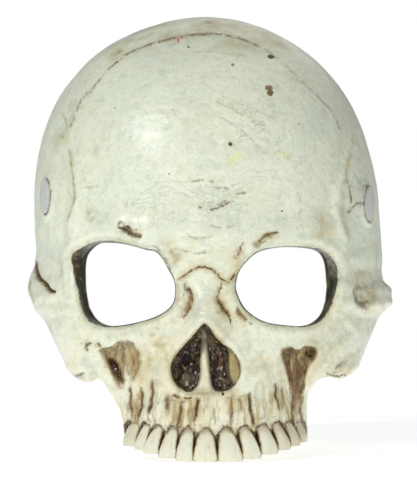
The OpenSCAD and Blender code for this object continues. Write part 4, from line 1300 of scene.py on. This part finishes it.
def painted_latex():
    """Antiqued latex: mottled paint, wrinkles, brown grain, crisp cracks and spots, glossy varnish."""
    g = Graph("painted_latex")
    speckle, wet, inner = g.attribute("speckle"), g.attribute("wet"), g.attribute("inner")
    grain, scratched = g.attribute("grain"), g.attribute("scratched")
    uneven = (g.noise(380.0) - 0.5) * 1.6
    in_hole = g.ramp(g.attribute("hole_d") + uneven, 0.0, 0.45)
    base = g.blend(in_hole, g.attribute("paint", "Color"), g.attribute("deep", "Color"))
    fine = g.noise(900.0, 4.0, 0.65)
    broad = g.noise(160.0, 5.0, distortion=0.4)
    brushed = g.noise(420.0, 4.0, 0.6, g.stretched(0.35, 1.0, 1.0))
    lumps = g.noise(95.0, 3.0, 0.55, distortion=0.6)

    # mottled ground
    warm = g.blend(g.ramp(broad, 0.50, 0.70) * 0.30, base, srgb(204, 197, 152))
    flecks = g.ramp(g.noise(2100.0), 0.62, 0.70) * speckle
    flecked = g.blend(flecks * 0.6, warm, srgb(128, 96, 58))
    lit = g.blend(g.ramp(brushed, 0.35, 0.7, 0.0, 0.3), flecked, srgb(250, 250, 240), mode="SOFT_LIGHT")
    grey = g.blend(g.ramp(broad, 0.3, 0.5, 0.26, 0.0), lit, srgb(176, 184, 168), mode="MULTIPLY")
    grey = g.blend(g.ramp(fine, 0.30, 0.48, 0.35, 0.0), grey, srgb(196, 198, 172), mode="MULTIPLY")

    # upright brown grain over the roots of the teeth and in the hollows; wet marbling in the recess, with
    # pale flecks on it that are painted highlights for its glints
    fibre = g.noise(620.0, 4.0, 0.62, g.stretched(1.0, 1.0, 0.2), 0.5)
    marbling = g.noise(620.0, 4.0, 0.65, g.stretched(1.0, 1.0, 0.38), 0.7)
    painted_glints = g.noise(760.0, 3.0, 0.6, g.stretched(1.0, 1.0, 0.55), 0.4)
    grained = g.blend(g.ramp(fibre, 0.50, 0.62) * (grain * 0.45), grey, srgb(146, 108, 66))
    grained = g.blend(g.ramp(fibre, 0.60, 0.68) * (grain * 0.7), grained, srgb(74, 44, 26))
    grained = g.blend(g.ramp(marbling, 0.54, 0.60) * wet * 0.7, grained, srgb(146, 100, 56))
    # painted highlights: pale glint flecks over the wet recess
    grained = g.blend(g.ramp(painted_glints, 0.61, 0.645) * wet * 0.8, grained, srgb(226, 218, 196))

    # fine scratches and wrinkles: thin bands of a swirling noise
    swirl = g.noise(85.0, 3.0, 0.5, g.stretched(0.55, 1.0, 1.25), 1.2)
    wrinkle = g.ramp(abs(swirl - 0.5), 0.0, 0.010, 1.0, 0.0) * scratched
    patchy = wrinkle * g.ramp(g.noise(260.0, 2.0, 0.5), 0.42, 0.6)
    wrinkled = g.blend(patchy * 0.38, grained, srgb(140, 122, 84))

    # sutures, cracks and the gum border, and the painted shade of the cap rings and some edge lines: a
    # thin dark line that wanders about the stored distance
    wander = (g.noise(700.0, 3.0, 0.7) - 0.5) * 3.0
    dist = abs(g.attribute("line_d") + wander)
    strength = g.attribute("line_s") * g.ramp(g.noise(330.0, 2.0, 0.5), 0.36, 0.56, 0.12, 1.0)
    core = g.ramp(dist, 0.14, 0.52, 1.0, 0.0) * strength
    halo = g.ramp(dist, 0.3, 1.7, 0.5, 0.0) * strength
    coloured = g.blend(core * 0.95, g.blend(halo, wrinkled, srgb(172, 144, 92)), srgb(74, 40, 23))

    # spots, each a ragged disc about a fixed place on the face
    flat = g.stretched(1.0, 0.0, 1.0)
    ragged = (g.noise(800.0) - 0.5) * 1.1
    outside = 1.0 - inner
    for u, w, half_wide, half_high, tint in SPOTS:
        at = head_at(np.array([float(u)]), np.array([float(w)]))[0] * MM
        scale = (1 / (half_wide * MM), 0.0, 1 / (half_high * MM))
        place = tuple(float(a) * s for a, s in zip(at, scale))
        away = g.vector("DISTANCE", "Value", g.vector("MULTIPLY", 0, flat, scale), place)
        disc = g.ramp(away + ragged, 0.75, 1.1, 0.95, 0.0)
        coloured = g.blend(disc * outside, coloured, tint)

    carved = fine * 0.35 + brushed * 0.65 - core * 1.6 - wrinkle * 0.5
    carved = carved + fibre * grain * 1.6 + marbling * wet * 3.0
    normal = g.bump(carved, 0.0004, 0.8)
    normal = g.bump(lumps + broad * 0.6, 0.0011, 0.6, Normal=normal)
    dull = g.ramp(g.noise(210.0), 0.35, 0.7, 0.36, 0.56)
    glossy = g.math("MAXIMUM", dull - wet * 0.34, 0.09)
    return g.shade(Base_Color=coloured, Roughness=g.math("ADD", glossy, inner * 0.3, clamp=True),
                   Normal=normal, Specular_IOR_Level=0.5, Coat_Roughness=0.17,
                   Coat_Weight=g.math("SUBTRACT", outside, wet, clamp=True) * 0.2)


LATEX_MATERIAL = painted_latex()


# ---------------------------------------------------------------- shell
# Shares of the way from the outer to the inner skin at which the edge has a ring of its own
EDGE_STEPS = (0.12, 0.3, 0.5, 0.7, 0.88)
SHORTEST_LOOP = 8


def close_edges(outer, inner, faces):
    """Rounded edges between the skins: all points and faces, each point's parent and its share inwards."""
    count = len(outer)
    points, parents = [outer, inner], [np.arange(count)] * 2
    shares = [np.zeros(count), np.ones(count)]
    all_faces = faces + [tuple(count + v for v in reversed(f)) for f in faces]
    total = 2 * count
    for loop in map(np.array, edge_loops(faces)):
        if len(loop) < SHORTEST_LOOP:
            continue
        o, i = outer[loop], inner[loop]
        along = unit(np.roll(o, -1, 0) - np.roll(o, 1, 0))
        sideways = unit(np.cross(along, unit(i - o)))
        depth = np.linalg.norm(i - o, axis=1)
        rings = [loop]
        for t in EDGE_STEPS:
            swell = np.minimum(0.25 * depth, 0.75) * math.sin(math.pi * t) ** 0.7
            points.append(mix(o, i, t) + sideways * swell[:, None])
            parents.append(loop)
            shares.append(np.full(len(loop), t))
            rings.append(total + np.arange(len(loop)))
            total += len(loop)
        rings.append(count + loop)
        for first, second in zip(rings[:-1], rings[1:]):
            for k in range(len(loop)):
                n = (k + 1) % len(loop)
                all_faces.append((first[n], first[k], second[k], second[n]))
    return np.vstack(points), all_faces, np.concatenate(parents), np.concatenate(shares)


def make_shell():
    data = build_shell()
    points, faces, parents, shares = close_edges(data["p"], data["inner"], data["faces"])
    masks = data["masks"]
    place = Place(data["u"], data["w"], data["plain"])
    paint = Paint(place, masks)
    line_d, line_s = thin_lines(place, data["p"])

    # round the edges the paint turns into the edge's own colour and then into raw latex
    in_hole = masks["rim"][parents] > 0.3
    under = (masks["below"][parents] > 0.2) & ~in_hole
    edge = np.where(under[:, None], BROWN, paint.ground[parents])
    edge = np.where(in_hole[:, None], OLIVE * 0.8, edge)
    raw = RAW * (1 + 0.10 * noise(points, 9.0, 41, 3)[:, None])
    turn = smooth(shares / 0.35)[:, None]
    to_raw = (shares - np.where(in_hole, 0.9, 0.55)) / np.where(in_hole, 0.1, 0.4)
    to_raw = smooth(to_raw)[:, None]
    fade = 1 - smooth(shares / 0.3)
    attributes = {
        "paint": mix(mix(paint.ground[parents], edge, turn), raw, to_raw),
        "deep": mix(mix(paint.deep[parents], edge, turn), raw, to_raw),
        "hole_d": masks["hole_d"][parents], "inner": smooth((shares - 0.4) / 0.5),
        "line_d": line_d[parents], "line_s": line_s[parents] * fade,
        **{key: value[parents] * fade for key, value in paint.finish().items()},
    }
    shell = make_mesh("latex_shell", points, faces, LATEX_MATERIAL, attributes)
    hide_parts("mask_shell")
    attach(shell, "shell")


make_shell()


# ---------------------------------------------------------------- teeth
def tooth_material():
    g = Graph("painted_tooth")
    fine = g.noise(1100.0, 4.0)
    cloudy = g.noise(240.0, 4.0, 0.55)
    streaks = g.noise(500.0, 3.0, 0.6, g.stretched(1.0, 1.0, 0.16))
    tone = g.attribute("paint", "Color")
    tone = g.blend(g.ramp(cloudy, 0.45, 0.75, 0.0, 0.35), tone, srgb(214, 200, 158))
    tone = g.blend(g.ramp(streaks, 0.5, 0.75, 0.0, 0.22), tone, srgb(176, 150, 108))
    tone = g.blend(g.ramp(fine, 0.66, 0.76, 0.0, 0.35), tone, srgb(120, 92, 60))
    return g.shade(Base_Color=tone, Roughness=g.ramp(cloudy, 0.3, 0.7, 0.26, 0.42),
                   Normal=g.bump(streaks * 0.7 + fine * 0.3, 0.0002, 0.5),
                   Coat_Weight=0.15, Coat_Roughness=0.2)


TOOTH_MATERIAL = tooth_material()
# How far a tooth's root goes up behind the border of the bone, and the shares of the widths
# given in TEETH that are used at its gum and at its biting edge
HIDDEN_ROOT = 2.2
NECK, SPREAD = 0.56, 1.05


def tooth_rings(number, gum_mid, gum_width, edge_mid, edge_width, edge_height):
    """Stacked rounded sections of one tooth, and at each point its depth, corner and front."""
    levels, around = ((26, 40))
    rng = np.random.default_rng(100 + number)
    lean = rng.uniform(-0.25, 0.25, 3)
    top = float(gum_height(np.array([gum_mid]))[0]) + HIDDEN_ROOT
    t = np.linspace(0, 1, levels) ** 0.85
    w = mix(top, edge_height, t)
    mid = mix(gum_mid, edge_mid, smooth(t * 1.05))
    face = head_at(mid, w)
    side = head_at(mid + 0.8, w) - head_at(mid - 0.8, w)
    side[:, 2] = 0
    tangent = unit(side.mean(0))
    outward = unit(np.cross(tangent, [0.0, 0.0, 1.0]))
    if outward[1] > 0:
        outward = -outward
    turned = max(abs(float(tangent[0])), 0.42)
    flare = np.clip((t - 0.04) / 0.84, 0, 1) ** 0.75
    width = mix(gum_width * NECK, edge_width * SPREAD, flare) * (1 - 0.04 * smooth((t - 0.93) / 0.07) ** 2)
    half = width / 2 / turned * (0.96 if turned < 0.8 else 0.985)
    rounded_end = np.sqrt(np.clip(1 - np.clip((t - 0.95) / 0.055, 0, 1) ** 2, 0.05, 1))
    belly = -1.7 + 2.3 * np.sin(t * math.pi * 0.62) ** 1.3 + 0.25 * lean[0]
    front_depth = np.interp(t, [0, 0.25, 0.5, 1], [1.4, 2.2, 2.2, 1.5]) * rounded_end
    back_depth = np.interp(t, [0, 0.25, 0.6, 1], [1.0, 2.2, 2.4, 1.9]) * rounded_end
    angle = np.linspace(0, 2 * math.pi, around, endpoint=False)
    c, s = np.cos(angle), np.sin(angle)
    points, places = [], []
    for k in range(levels):
        across = np.sign(c) * np.abs(c) ** (2 / mix(2.3, 3.0, t[k])) * (0.86 + 0.14 * rounded_end[k])
        y = np.sign(s) * np.abs(s) ** (2 / 2.3)
        y = y * np.where(y > 0, front_depth[k], back_depth[k])
        share = across * half[k] / max(half[k], 0.1)
        ridge = 0.12 * np.cos(share * 5.2 + lean[1] * 6) * (y > 0)
        crown = face[k] + outward * (belly[k] - front_depth[k])
        ring = crown + (across * half[k])[:, None] * tangent + (y + ridge)[:, None] * outward
        corner = np.abs(share)
        ring[:, 2] += 0.35 * lean[2] * share * t[k]
        ring[:, 2] += 0.55 * smooth((corner - 0.62) / 0.38) * smooth((t[k] - 0.85) / 0.15)
        points.append(ring)
        places.append(np.stack([np.full(around, t[k]), corner, y > -0.1], -1))
    points = np.vstack(points)
    points += 0.10 * noise(points, 2.4, 60 + number, 2)[:, None] * outward
    return points, stacked_faces(levels, around), np.vstack(places).T


def make_tooth(number, gum_mid, *shape):
    """One upper tooth, from a hidden root down to the biting edge."""
    points, faces, (depth, corner, ahead) = tooth_rings(number, gum_mid, *shape)
    far = smooth((abs(gum_mid) - 26) / 20)
    fleck = noise(points, 1.8, 70 + number, 2)
    cloud = noise(points, 5.0, 90 + number, 2)
    colour = np.tile(mix(srgb(219, 220, 200), srgb(205, 200, 170), far), (len(points), 1))
    for target, amount in (
        (CREAM, 0.5 * smooth((0.62 - depth) / 0.4)),
        (TAN, 0.4 * smooth((0.30 - depth) / 0.2) * smooth(0.8 + cloud)),
        (BROWN, 0.8 * smooth((0.12 + 0.05 * fleck - depth) / 0.07)),
        # browner towards each tooth's sides and on its back: partly brown paint between the teeth, partly
        # painted shade in the gaps
        (TAN, 0.8 * smooth((corner - 0.74 + 0.12 * fleck) / 0.16)),
        (BROWN, 0.95 * smooth((corner - 0.87 + 0.08 * fleck) / 0.09)),
        (srgb(58, 34, 20), 0.9 * smooth((corner - 0.94) / 0.05)),
        (BROWN, 0.85 * (1 - ahead)),
        (TAN, 0.3 * far * smooth(0.4 + cloud)),
        (TAN, 0.5 * smooth((fleck - 0.45) / 0.2)),
    ):
        colour = mix(colour, target, np.clip(amount, 0, 1)[:, None])
    tooth = make_mesh(f"tooth_{number:02d}", points, faces, TOOTH_MATERIAL, {"paint": colour})
    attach(tooth, "shell")


for number, spec in enumerate(TEETH, 1):
    make_tooth(number, *spec)


# ---------------------------------------------------------------- hardware
def cap_plastic():
    g = Graph("cap_plastic")
    grain = g.noise(2600.0)
    broad = g.noise(180.0, 4.0)
    scuffs = g.noise(600.0, 2.0, 0.5, g.stretched(1.0, 1.0, 0.08))
    tone = g.blend(g.ramp(broad, 0.35, 0.7, 0.0, 0.5), srgb(196, 199, 195), srgb(182, 186, 180))
    tone = g.blend(g.ramp(scuffs, 0.66, 0.74, 0.0, 0.3), tone, srgb(214, 216, 213))
    return g.shade(Base_Color=tone, Roughness=g.ramp(broad, 0.3, 0.7, 0.46, 0.6),
                   Normal=g.bump(grain, 0.00005, 0.5))


def plated_steel():
    g = Graph("plated_steel")
    broad = g.noise(300.0, 4.0)
    scratches = g.noise(1500.0, 2.0, 0.5, g.stretched(1.0, 0.1, 1.0))
    tone = g.blend(g.ramp(broad, 0.4, 0.7, 0.0, 0.6), srgb(205, 205, 206), srgb(176, 174, 170))
    return g.shade(Base_Color=tone, Metallic=1.0, Roughness=g.ramp(scratches, 0.3, 0.7, 0.2, 0.36),
                   Normal=g.bump(scratches, 0.00003, 0.4))


def black_plastic():
    g = Graph("slider_plastic")
    grain = g.noise(1800.0)
    broad = g.noise(120.0, 4.0)
    tone = g.blend(g.ramp(broad, 0.35, 0.7, 0.0, 0.6), srgb(36, 36, 38), srgb(50, 50, 52))
    return g.shade(Base_Color=tone, Roughness=g.ramp(broad, 0.3, 0.7, 0.4, 0.55),
                   Normal=g.bump(grain, 0.00006, 0.5))


def woven_elastic():
    g = Graph("elastic_webbing")
    pick = g.math("SINE", g.attribute("along") * 5.2, 0.0)
    rib = g.math("SINE", g.attribute("across") * (2 * math.pi / RIB_PITCH), 0.0)
    weave = pick * rib
    fibres = g.noise(5200.0, 3.0, 0.7)
    broad = g.noise(90.0, 4.0)
    tone = g.blend(g.ramp(weave, -0.8, 0.9), srgb(20, 20, 22), srgb(46, 46, 49))
    tone = g.blend(g.ramp(broad, 0.45, 0.75, 0.0, 0.35), tone, srgb(66, 65, 64))
    return g.shade(Base_Color=tone, Roughness=g.ramp(fibres, 0.2, 0.8, 0.72, 0.95),
                   Normal=g.bump(weave * 0.6 + fibres * 0.4, 0.00012, 0.8),
                   Sheen_Weight=0.25, Sheen_Roughness=0.4)


def thread_material():
    g = Graph("thread")
    twist = g.noise(3000.0, 3.0, 0.6, g.stretched(1.0, 1.0, 0.5))
    tone = g.blend(g.ramp(twist, 0.3, 0.7), srgb(58, 58, 62), srgb(96, 96, 100))
    return g.shade(Base_Color=tone, Roughness=g.ramp(twist, 0.2, 0.8, 0.6, 0.85),
                   Normal=g.bump(twist, 0.00008, 0.7))


# Distance between the elastic's ribs
RIB_PITCH = 1.45
CAP_MATERIAL, STEEL, SLIDER_MATERIAL = cap_plastic(), plated_steel(), black_plastic()
WEBBING, THREAD = woven_elastic(), thread_material()


def refined(node, name, body, material, edge):
    """A copy of a CAD part with its sharp edges bevelled, which stands for the part."""
    mesh = frame["nodes"][node].data.copy()
    mesh.name = name
    work = bmesh.new()
    work.from_mesh(mesh)
    bmesh.ops.remove_doubles(work, verts=work.verts, dist=1e-6)
    bmesh.ops.dissolve_limit(work, angle_limit=math.radians(1), verts=work.verts, edges=work.edges)
    sharp = [e for e in work.edges if len(e.link_faces) == 2 and e.calc_face_angle(0) > math.radians(50)]
    bmesh.ops.bevel(work, geom=sharp, offset=edge * MM, segments=3, profile=0.5,
                    affect="EDGES", clamp_overlap=True)
    work.to_mesh(mesh)
    work.free()
    mesh.materials.clear()
    mesh.materials.append(material)
    mesh.shade_smooth()
    mesh.set_sharp_from_angle(angle=math.radians(38))
    obj = bpy.data.objects.new(name, mesh)
    bpy.context.scene.collection.objects.link(obj)
    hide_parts(node)
    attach(obj, body)


for side in ("left", "right"):
    refined(f"{side}_stud_cap", f"{side}_cap", "shell", CAP_MATERIAL, 0.32)
    refined(f"{side}_backing_washer", f"{side}_washer", "shell", STEEL, 0.12)
    refined(f"{side}_stud", f"{side}_press_stud", "shell", STEEL, 0.1)
    refined(f"{side}_socket", f"{side}_snap_socket", "strap", STEEL, 0.3)
    refined(f"{side}_socket_eyelet", f"{side}_eyelet", "strap", STEEL, 0.15)
refined("strap_slider", "band_slider", "slider", SLIDER_MATERIAL, 0.35)


# ---------------------------------------------------------------- strap
SWING = next(j for j in frame["joints"] if j["name"] == "strap_swing")
SWING_AXIS = unit(np.array(SWING["axis"], float))
SWING_AT = np.array(SWING["pos_m"], float) / MM
STRAP_UP = unit(np.cross(SWING_AXIS, [0.0, 1.0, 0.0]))
STRAP_BACK = np.cross(STRAP_UP, SWING_AXIS)
(LEFT_FACE, LEFT_OUT), (RIGHT_FACE, RIGHT_OUT) = PADS
# Distance from a pad's face to its stud's ball, and from the ball to the middle of the band
TO_BALL, MID_LAYER = 6.2, 3.35
LEFT_BALL, RIGHT_BALL = LEFT_FACE - LEFT_OUT * TO_BALL, RIGHT_FACE - RIGHT_OUT * TO_BALL
BALL_HALF = float(np.linalg.norm(RIGHT_BALL - LEFT_BALL)) / 2
END_TURN = math.asin(float(-RIGHT_OUT[1]))
# The band: width, thickness, half its span, bend radius, and its back run's distance to the rear
BAND_W, BAND_T, SPAN_HALF, BEND, BAND_BACK = 20.0, 1.2, 78.0, 50.0, 95.0
FLAT_END = 7.5
LAYER_GAP = 0.35
LAYER = BAND_T + LAYER_GAP
SLACK_LEFT, TRAVEL = 10.0, 20.0
RING_WIRE, RING_LENGTH, RING_HEIGHT, RING_CORNER = 2.2, 9.0, 26.0, 2.4
WRAP_R = RING_WIRE / 2 + 0.15 + BAND_T / 2

END = (BALL_HALF - MID_LAYER * math.cos(END_TURN), MID_LAYER * math.sin(END_TURN))
LEAD = (END[0] + FLAT_END * math.sin(END_TURN), END[1] + FLAT_END * math.cos(END_TURN))
LEAD_R = (SPAN_HALF - LEAD[0]) / (1 - math.cos(END_TURN))
SIDE_START = LEAD[1] + LEAD_R * math.sin(END_TURN)
BACK_Y = BAND_BACK - SWING_AT[1]
CORNER = (SPAN_HALF - BEND, BACK_Y - BEND)
RING_NEAR = SIDE_START + 4 + RING_WIRE / 2
RING_FAR = SIDE_START + 4 + RING_LENGTH - RING_WIRE / 2
RING_X = SPAN_HALF - WRAP_R
SEWN_X = CORNER[0] - SLACK_LEFT - TRAVEL
SLIDER_X = SEWN_X - 12.0
SEWN_GAP = 0.06
FOLD_R = 1 + 0.15 + BAND_T / 2
BAR_Y = BACK_Y - LAYER - FOLD_R
FOLD_END = LAYER + BAND_T + 0.1


def strap_point(x, y, z=0.0):
    """A point of the strap's own frame (across, back, up) in the mask's frame."""
    x, y, z = (np.asarray(v, float)[..., None] for v in (x, y, z))
    return SWING_AT + x * SWING_AXIS + y * STRAP_BACK + z * STRAP_UP


def arc(x, y, radius, start, turn, steps):
    """Points of an arc about (x, y), from a start angle through a turn in degrees."""
    angles = [math.radians(start + turn * i / steps) for i in range(steps + 1)]
    return [(x + radius * math.cos(t), y + radius * math.sin(t)) for t in angles]


def end_path():
    """The band's end on a stud, from its flat part round to the straight side run."""
    path = [(END[0] - FLAT_END * math.sin(END_TURN), END[1] - FLAT_END * math.cos(END_TURN)), LEAD]
    for i in range(1, 13):
        t = END_TURN * (1 - i / 12)
        path.append((SPAN_HALF - LEAD_R * (1 - math.cos(t)), SIDE_START - LEAD_R * math.sin(t)))
    return path


def corner_path(shift):
    return arc(*CORNER, BEND - shift, 0, 90, 24)


def wrap_path(y, turn):
    return arc(RING_X, y, WRAP_R, 0, 180 * turn, 12)


def evenly(path, spacing):
    """Points spaced evenly along a path, and how far along it each is."""
    p = np.array(path, float)
    p = p[np.append(True, np.linalg.norm(np.diff(p, axis=0), axis=1) > 1e-6)]
    length = np.append(0, np.cumsum(np.linalg.norm(np.diff(p, axis=0), axis=1)))
    at = np.linspace(0, length[-1], max(3, int(length[-1] / spacing) + 1))
    return np.stack([np.interp(at, length, p[:, 0]), np.interp(at, length, p[:, 1])], -1), at


def ribbon_section():
    """Outline of the elastic's section: ribbed faces and thin edges, (along its width, through it)."""
    across = np.linspace(-1, 1, 57)
    z = across * (BAND_W / 2 - 0.25)
    face = BAND_T / 2 - 0.11 + 0.10 * np.cos(2 * math.pi * z / RIB_PITCH) - 0.32 * np.abs(across) ** 14
    front, back = np.stack([z, face], -1), np.stack([z, -face], -1)[::-1]
    edge = np.array([(BAND_W / 2, 0.12), (BAND_W / 2, -0.12)])
    return np.vstack([front, edge, back, -edge])


def make_ribbon(name, path, node, body, spacing=1.2):
    """A length of ribbed elastic along a path in the strap's frame, standing for a CAD node."""
    line, at = evenly(path, spacing)
    direction = unit(np.gradient(line, axis=0))
    section = ribbon_section()
    around = len(section)
    points = []
    for centre, d in zip(line, direction):
        points.append(strap_point(centre[0] - d[1] * section[:, 1], centre[1] + d[0] * section[:, 1],
                                  section[:, 0]))
    obj = make_mesh(name, np.vstack(points), stacked_faces(len(line), around, flip=True), WEBBING,
                    {"across": np.tile(section[:, 0], len(line)), "along": np.repeat(at, around)})
    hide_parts(node)
    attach(obj, body)
    return obj


make_ribbon(
    "elastic_band",
    [(-x, y) for x, y in end_path() + corner_path(0)] + corner_path(0)[::-1] + wrap_path(RING_FAR, -1),
    "strap_band", "strap")
make_ribbon(
    "elastic_return",
    [(RING_X - WRAP_R, RING_FAR), (RING_X - WRAP_R, RING_FAR + 2),
     (SPAN_HALF - LAYER - 0.1, RING_FAR + 14)] + corner_path(LAYER),
    "strap_return_run", "strap")
slack = make_ribbon(
    "elastic_slack", [(CORNER[0], BACK_Y - LAYER), (SEWN_X + SEWN_GAP, BACK_Y - LAYER)],
    "strap_return_slack", "strap")
make_ribbon(
    "elastic_sewn_end",
    [(SEWN_X, BACK_Y - LAYER)] + arc(SLIDER_X, BAR_Y, FOLD_R, 90, 180, 10)
    + [(SLIDER_X + 3, BAR_Y - FOLD_R + 0.5), (SLIDER_X + 7, BACK_Y - FOLD_END),
       (SEWN_X - 0.5, BACK_Y - FOLD_END)],
    "strap_sewn_end", "slider", 0.7)
make_ribbon(
    "elastic_right_tab",
    end_path() + wrap_path(RING_NEAR, 1)
    + [(SPAN_HALF - 2 * WRAP_R, RING_NEAR - 1), (SPAN_HALF - LAYER - 0.2, RING_NEAR - 6),
       (SPAN_HALF - LAYER - 0.8, RING_NEAR - 12)],
    "right_end_tab", "strap", 0.8)
anchor = strap_point(CORNER[0], BACK_Y).ravel()
tuple(anchor * MM)
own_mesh(slack)


def make_tube(name, line, radius, material, closed=False, sides=12):
    """A round wire or thread along a line of points in millimetres."""
    if closed:
        direction = unit(np.roll(line, -1, 0) - np.roll(line, 1, 0))
    else:
        direction = unit(np.gradient(line, axis=0))
    guide = unit(np.cross(direction[0], [0.31, 0.52, 0.79]))
    turns = 2 * math.pi * np.arange(sides)[:, None] / sides
    points = []
    for centre, d in zip(line, direction):
        guide = unit(guide - (guide @ d) * d)
        points.append(centre + radius * (np.cos(turns) * guide + np.sin(turns) * np.cross(d, guide)))
    return make_mesh(name, np.vstack(points), stacked_faces(len(line), sides, closed), material)


def ring_line():
    """Centre line of the wire ring: a rectangle with round corners, in the strap's frame."""
    r = RING_CORNER
    up = RING_HEIGHT / 2 - r
    line = []
    for y, z, start in ((RING_FAR - r, up, 0), (RING_NEAR + r, up, 90), (RING_NEAR + r, -up, 180),
                        (RING_FAR - r, -up, 270)):
        line += arc(y, z, r, start, 90, 8)
    y, z = np.array(line).T
    return strap_point(np.full(len(line), RING_X), y, z)


ring = make_tube("wire_ring", ring_line(), RING_WIRE / 2, STEEL, closed=True, sides=16)
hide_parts("strap_ring")
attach(ring, "strap")

# Bar tacks: half their height, distance between stitches, half their width, points to a stitch
TACK_HALF, STITCH, TACK_SWING, FINE = 8, 0.4, 0.7, 4
THREAD_R, THREAD_LIFT, THREAD_ARCH = 0.19, 0.06, 0.10


def bar_tack(name, at, step, outward, body, nodes):
    """A zigzag of thread up the band; at and step place it across and along, outward is its side."""
    rows = np.arange(-TACK_HALF, TACK_HALF + 0.01, STITCH)
    index = np.arange(len(rows))
    swing = np.where(index % 2 == 0, -TACK_SWING, TACK_SWING)
    pick = np.linspace(0, len(rows) - 1, (len(rows) - 1) * FINE + 1)
    lift = THREAD_LIFT + THREAD_ARCH * np.abs(np.sin(math.pi * pick))
    x, y = (at[i] + step[i] * np.interp(pick, index, swing) + outward[i] * lift for i in (0, 1))
    tack = make_tube(name, strap_point(x, y, np.interp(pick, index, rows)), THREAD_R, THREAD, sides=8)
    if nodes:
        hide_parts(*nodes)
    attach(tack, body)


bar_tack("tab_bar_tack", (SPAN_HALF + BAND_T / 2, RING_NEAR - 9.6), (0, 1), (1, 0), "strap",
         ["tab_stitching"])
INNER_FACE = BACK_Y - FOLD_END - BAND_T / 2
bar_tack("sewn_end_tack_1", (SLIDER_X + 8.8, INNER_FACE), (1, 0), (0, -1), "slider",
         ["sewn_end_stitching"])
bar_tack("sewn_end_tack_2", (SEWN_X - 2.2, INNER_FACE), (1, 0), (0, -1), "slider", [])


# ---------------------------------------------------------------- stage, light and camera
WHITE = (1.0, 1.0, 1.0, 1.0)


def make_stage():
    """A floor under the mask, which glows so that it looks as white as the photo's background."""
    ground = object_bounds()[0][2] / MM
    g = Graph("floor_paint")
    tone = g.blend(g.ramp(g.noise(3.0, 3.0, 0.5), 0.3, 0.7), srgb(246, 246, 246), srgb(250, 250, 250))
    white = g.shade(Base_Color=tone, Roughness=0.9, Emission_Color=WHITE, Emission_Strength=0.62)
    wide, near_y, far_y = 900, -900, 420
    corners = [(-wide, near_y), (wide, near_y), (wide, far_y), (-wide, far_y)]
    floor = make_mesh("floor", [(x, y, ground) for x, y in corners], [(0, 1, 2, 3)], white)


def make_world():
    """White to the camera, softer as a light."""
    world = bpy.data.worlds.new("studio")
    bpy.context.scene.world = world
    world.use_nodes = True
    tree = world.node_tree
    seen = tree.nodes["Background"]
    given = tree.nodes.new("ShaderNodeBackground")
    for node, colour, strength in ((seen, WHITE, 1.0), (given, (0.96, 0.98, 1.0, 1.0), 0.27)):
        node.inputs["Color"].default_value = colour
        node.inputs["Strength"].default_value = strength
    path = tree.nodes.new("ShaderNodeLightPath")
    choose = tree.nodes.new("ShaderNodeMixShader")
    tree.links.new(path.outputs["Is Camera Ray"], choose.inputs[0])
    tree.links.new(given.outputs[0], choose.inputs[1])
    tree.links.new(seen.outputs[0], choose.inputs[2])
    tree.links.new(choose.outputs[0], tree.nodes["World Output"].inputs[0])


def make_light(name, place, watts, size):
    """A round white lamp aimed at the mask."""
    data = bpy.data.lights.new(name, "AREA")
    data.shape = "DISK"
    data.energy = watts
    data.size = size
    light = bpy.data.objects.new(name, data)
    bpy.context.scene.collection.objects.link(light)
    light.location = place
    aim = Vector((0.0, -0.04, 0.0)) - Vector(place)
    light.rotation_euler = aim.to_track_quat("-Z", "Y").to_euler()


make_stage()
make_world()
make_light("key", (-0.66, -0.90, 0.86), 9.7, 0.42)
make_light("fill", (1.1, -0.8, 0.14), 3.0, 0.8)
make_light("low_front", (-0.2, -1.2, -0.4), 0.2, 0.7)
make_light("rear", (0.3, 1.2, 0.9), 1.8, 0.9)

camera_data = bpy.data.cameras.new("camera")
camera_data.sensor_fit = "HORIZONTAL"
camera_data.sensor_width = 36.0
camera_data.lens = camera_data.sensor_width * CAM_DISTANCE / FRAME_WIDTH
camera = bpy.data.objects.new("camera", camera_data)
bpy.context.scene.collection.objects.link(camera)
camera.location = (CAM_X * MM, (REF_Y - CAM_DISTANCE) * MM, 0.0)
camera.rotation_euler = (math.radians(90), 0.0, 0.0)
bpy.context.scene.camera = camera
bpy.context.scene.view_settings.view_transform = "Standard"
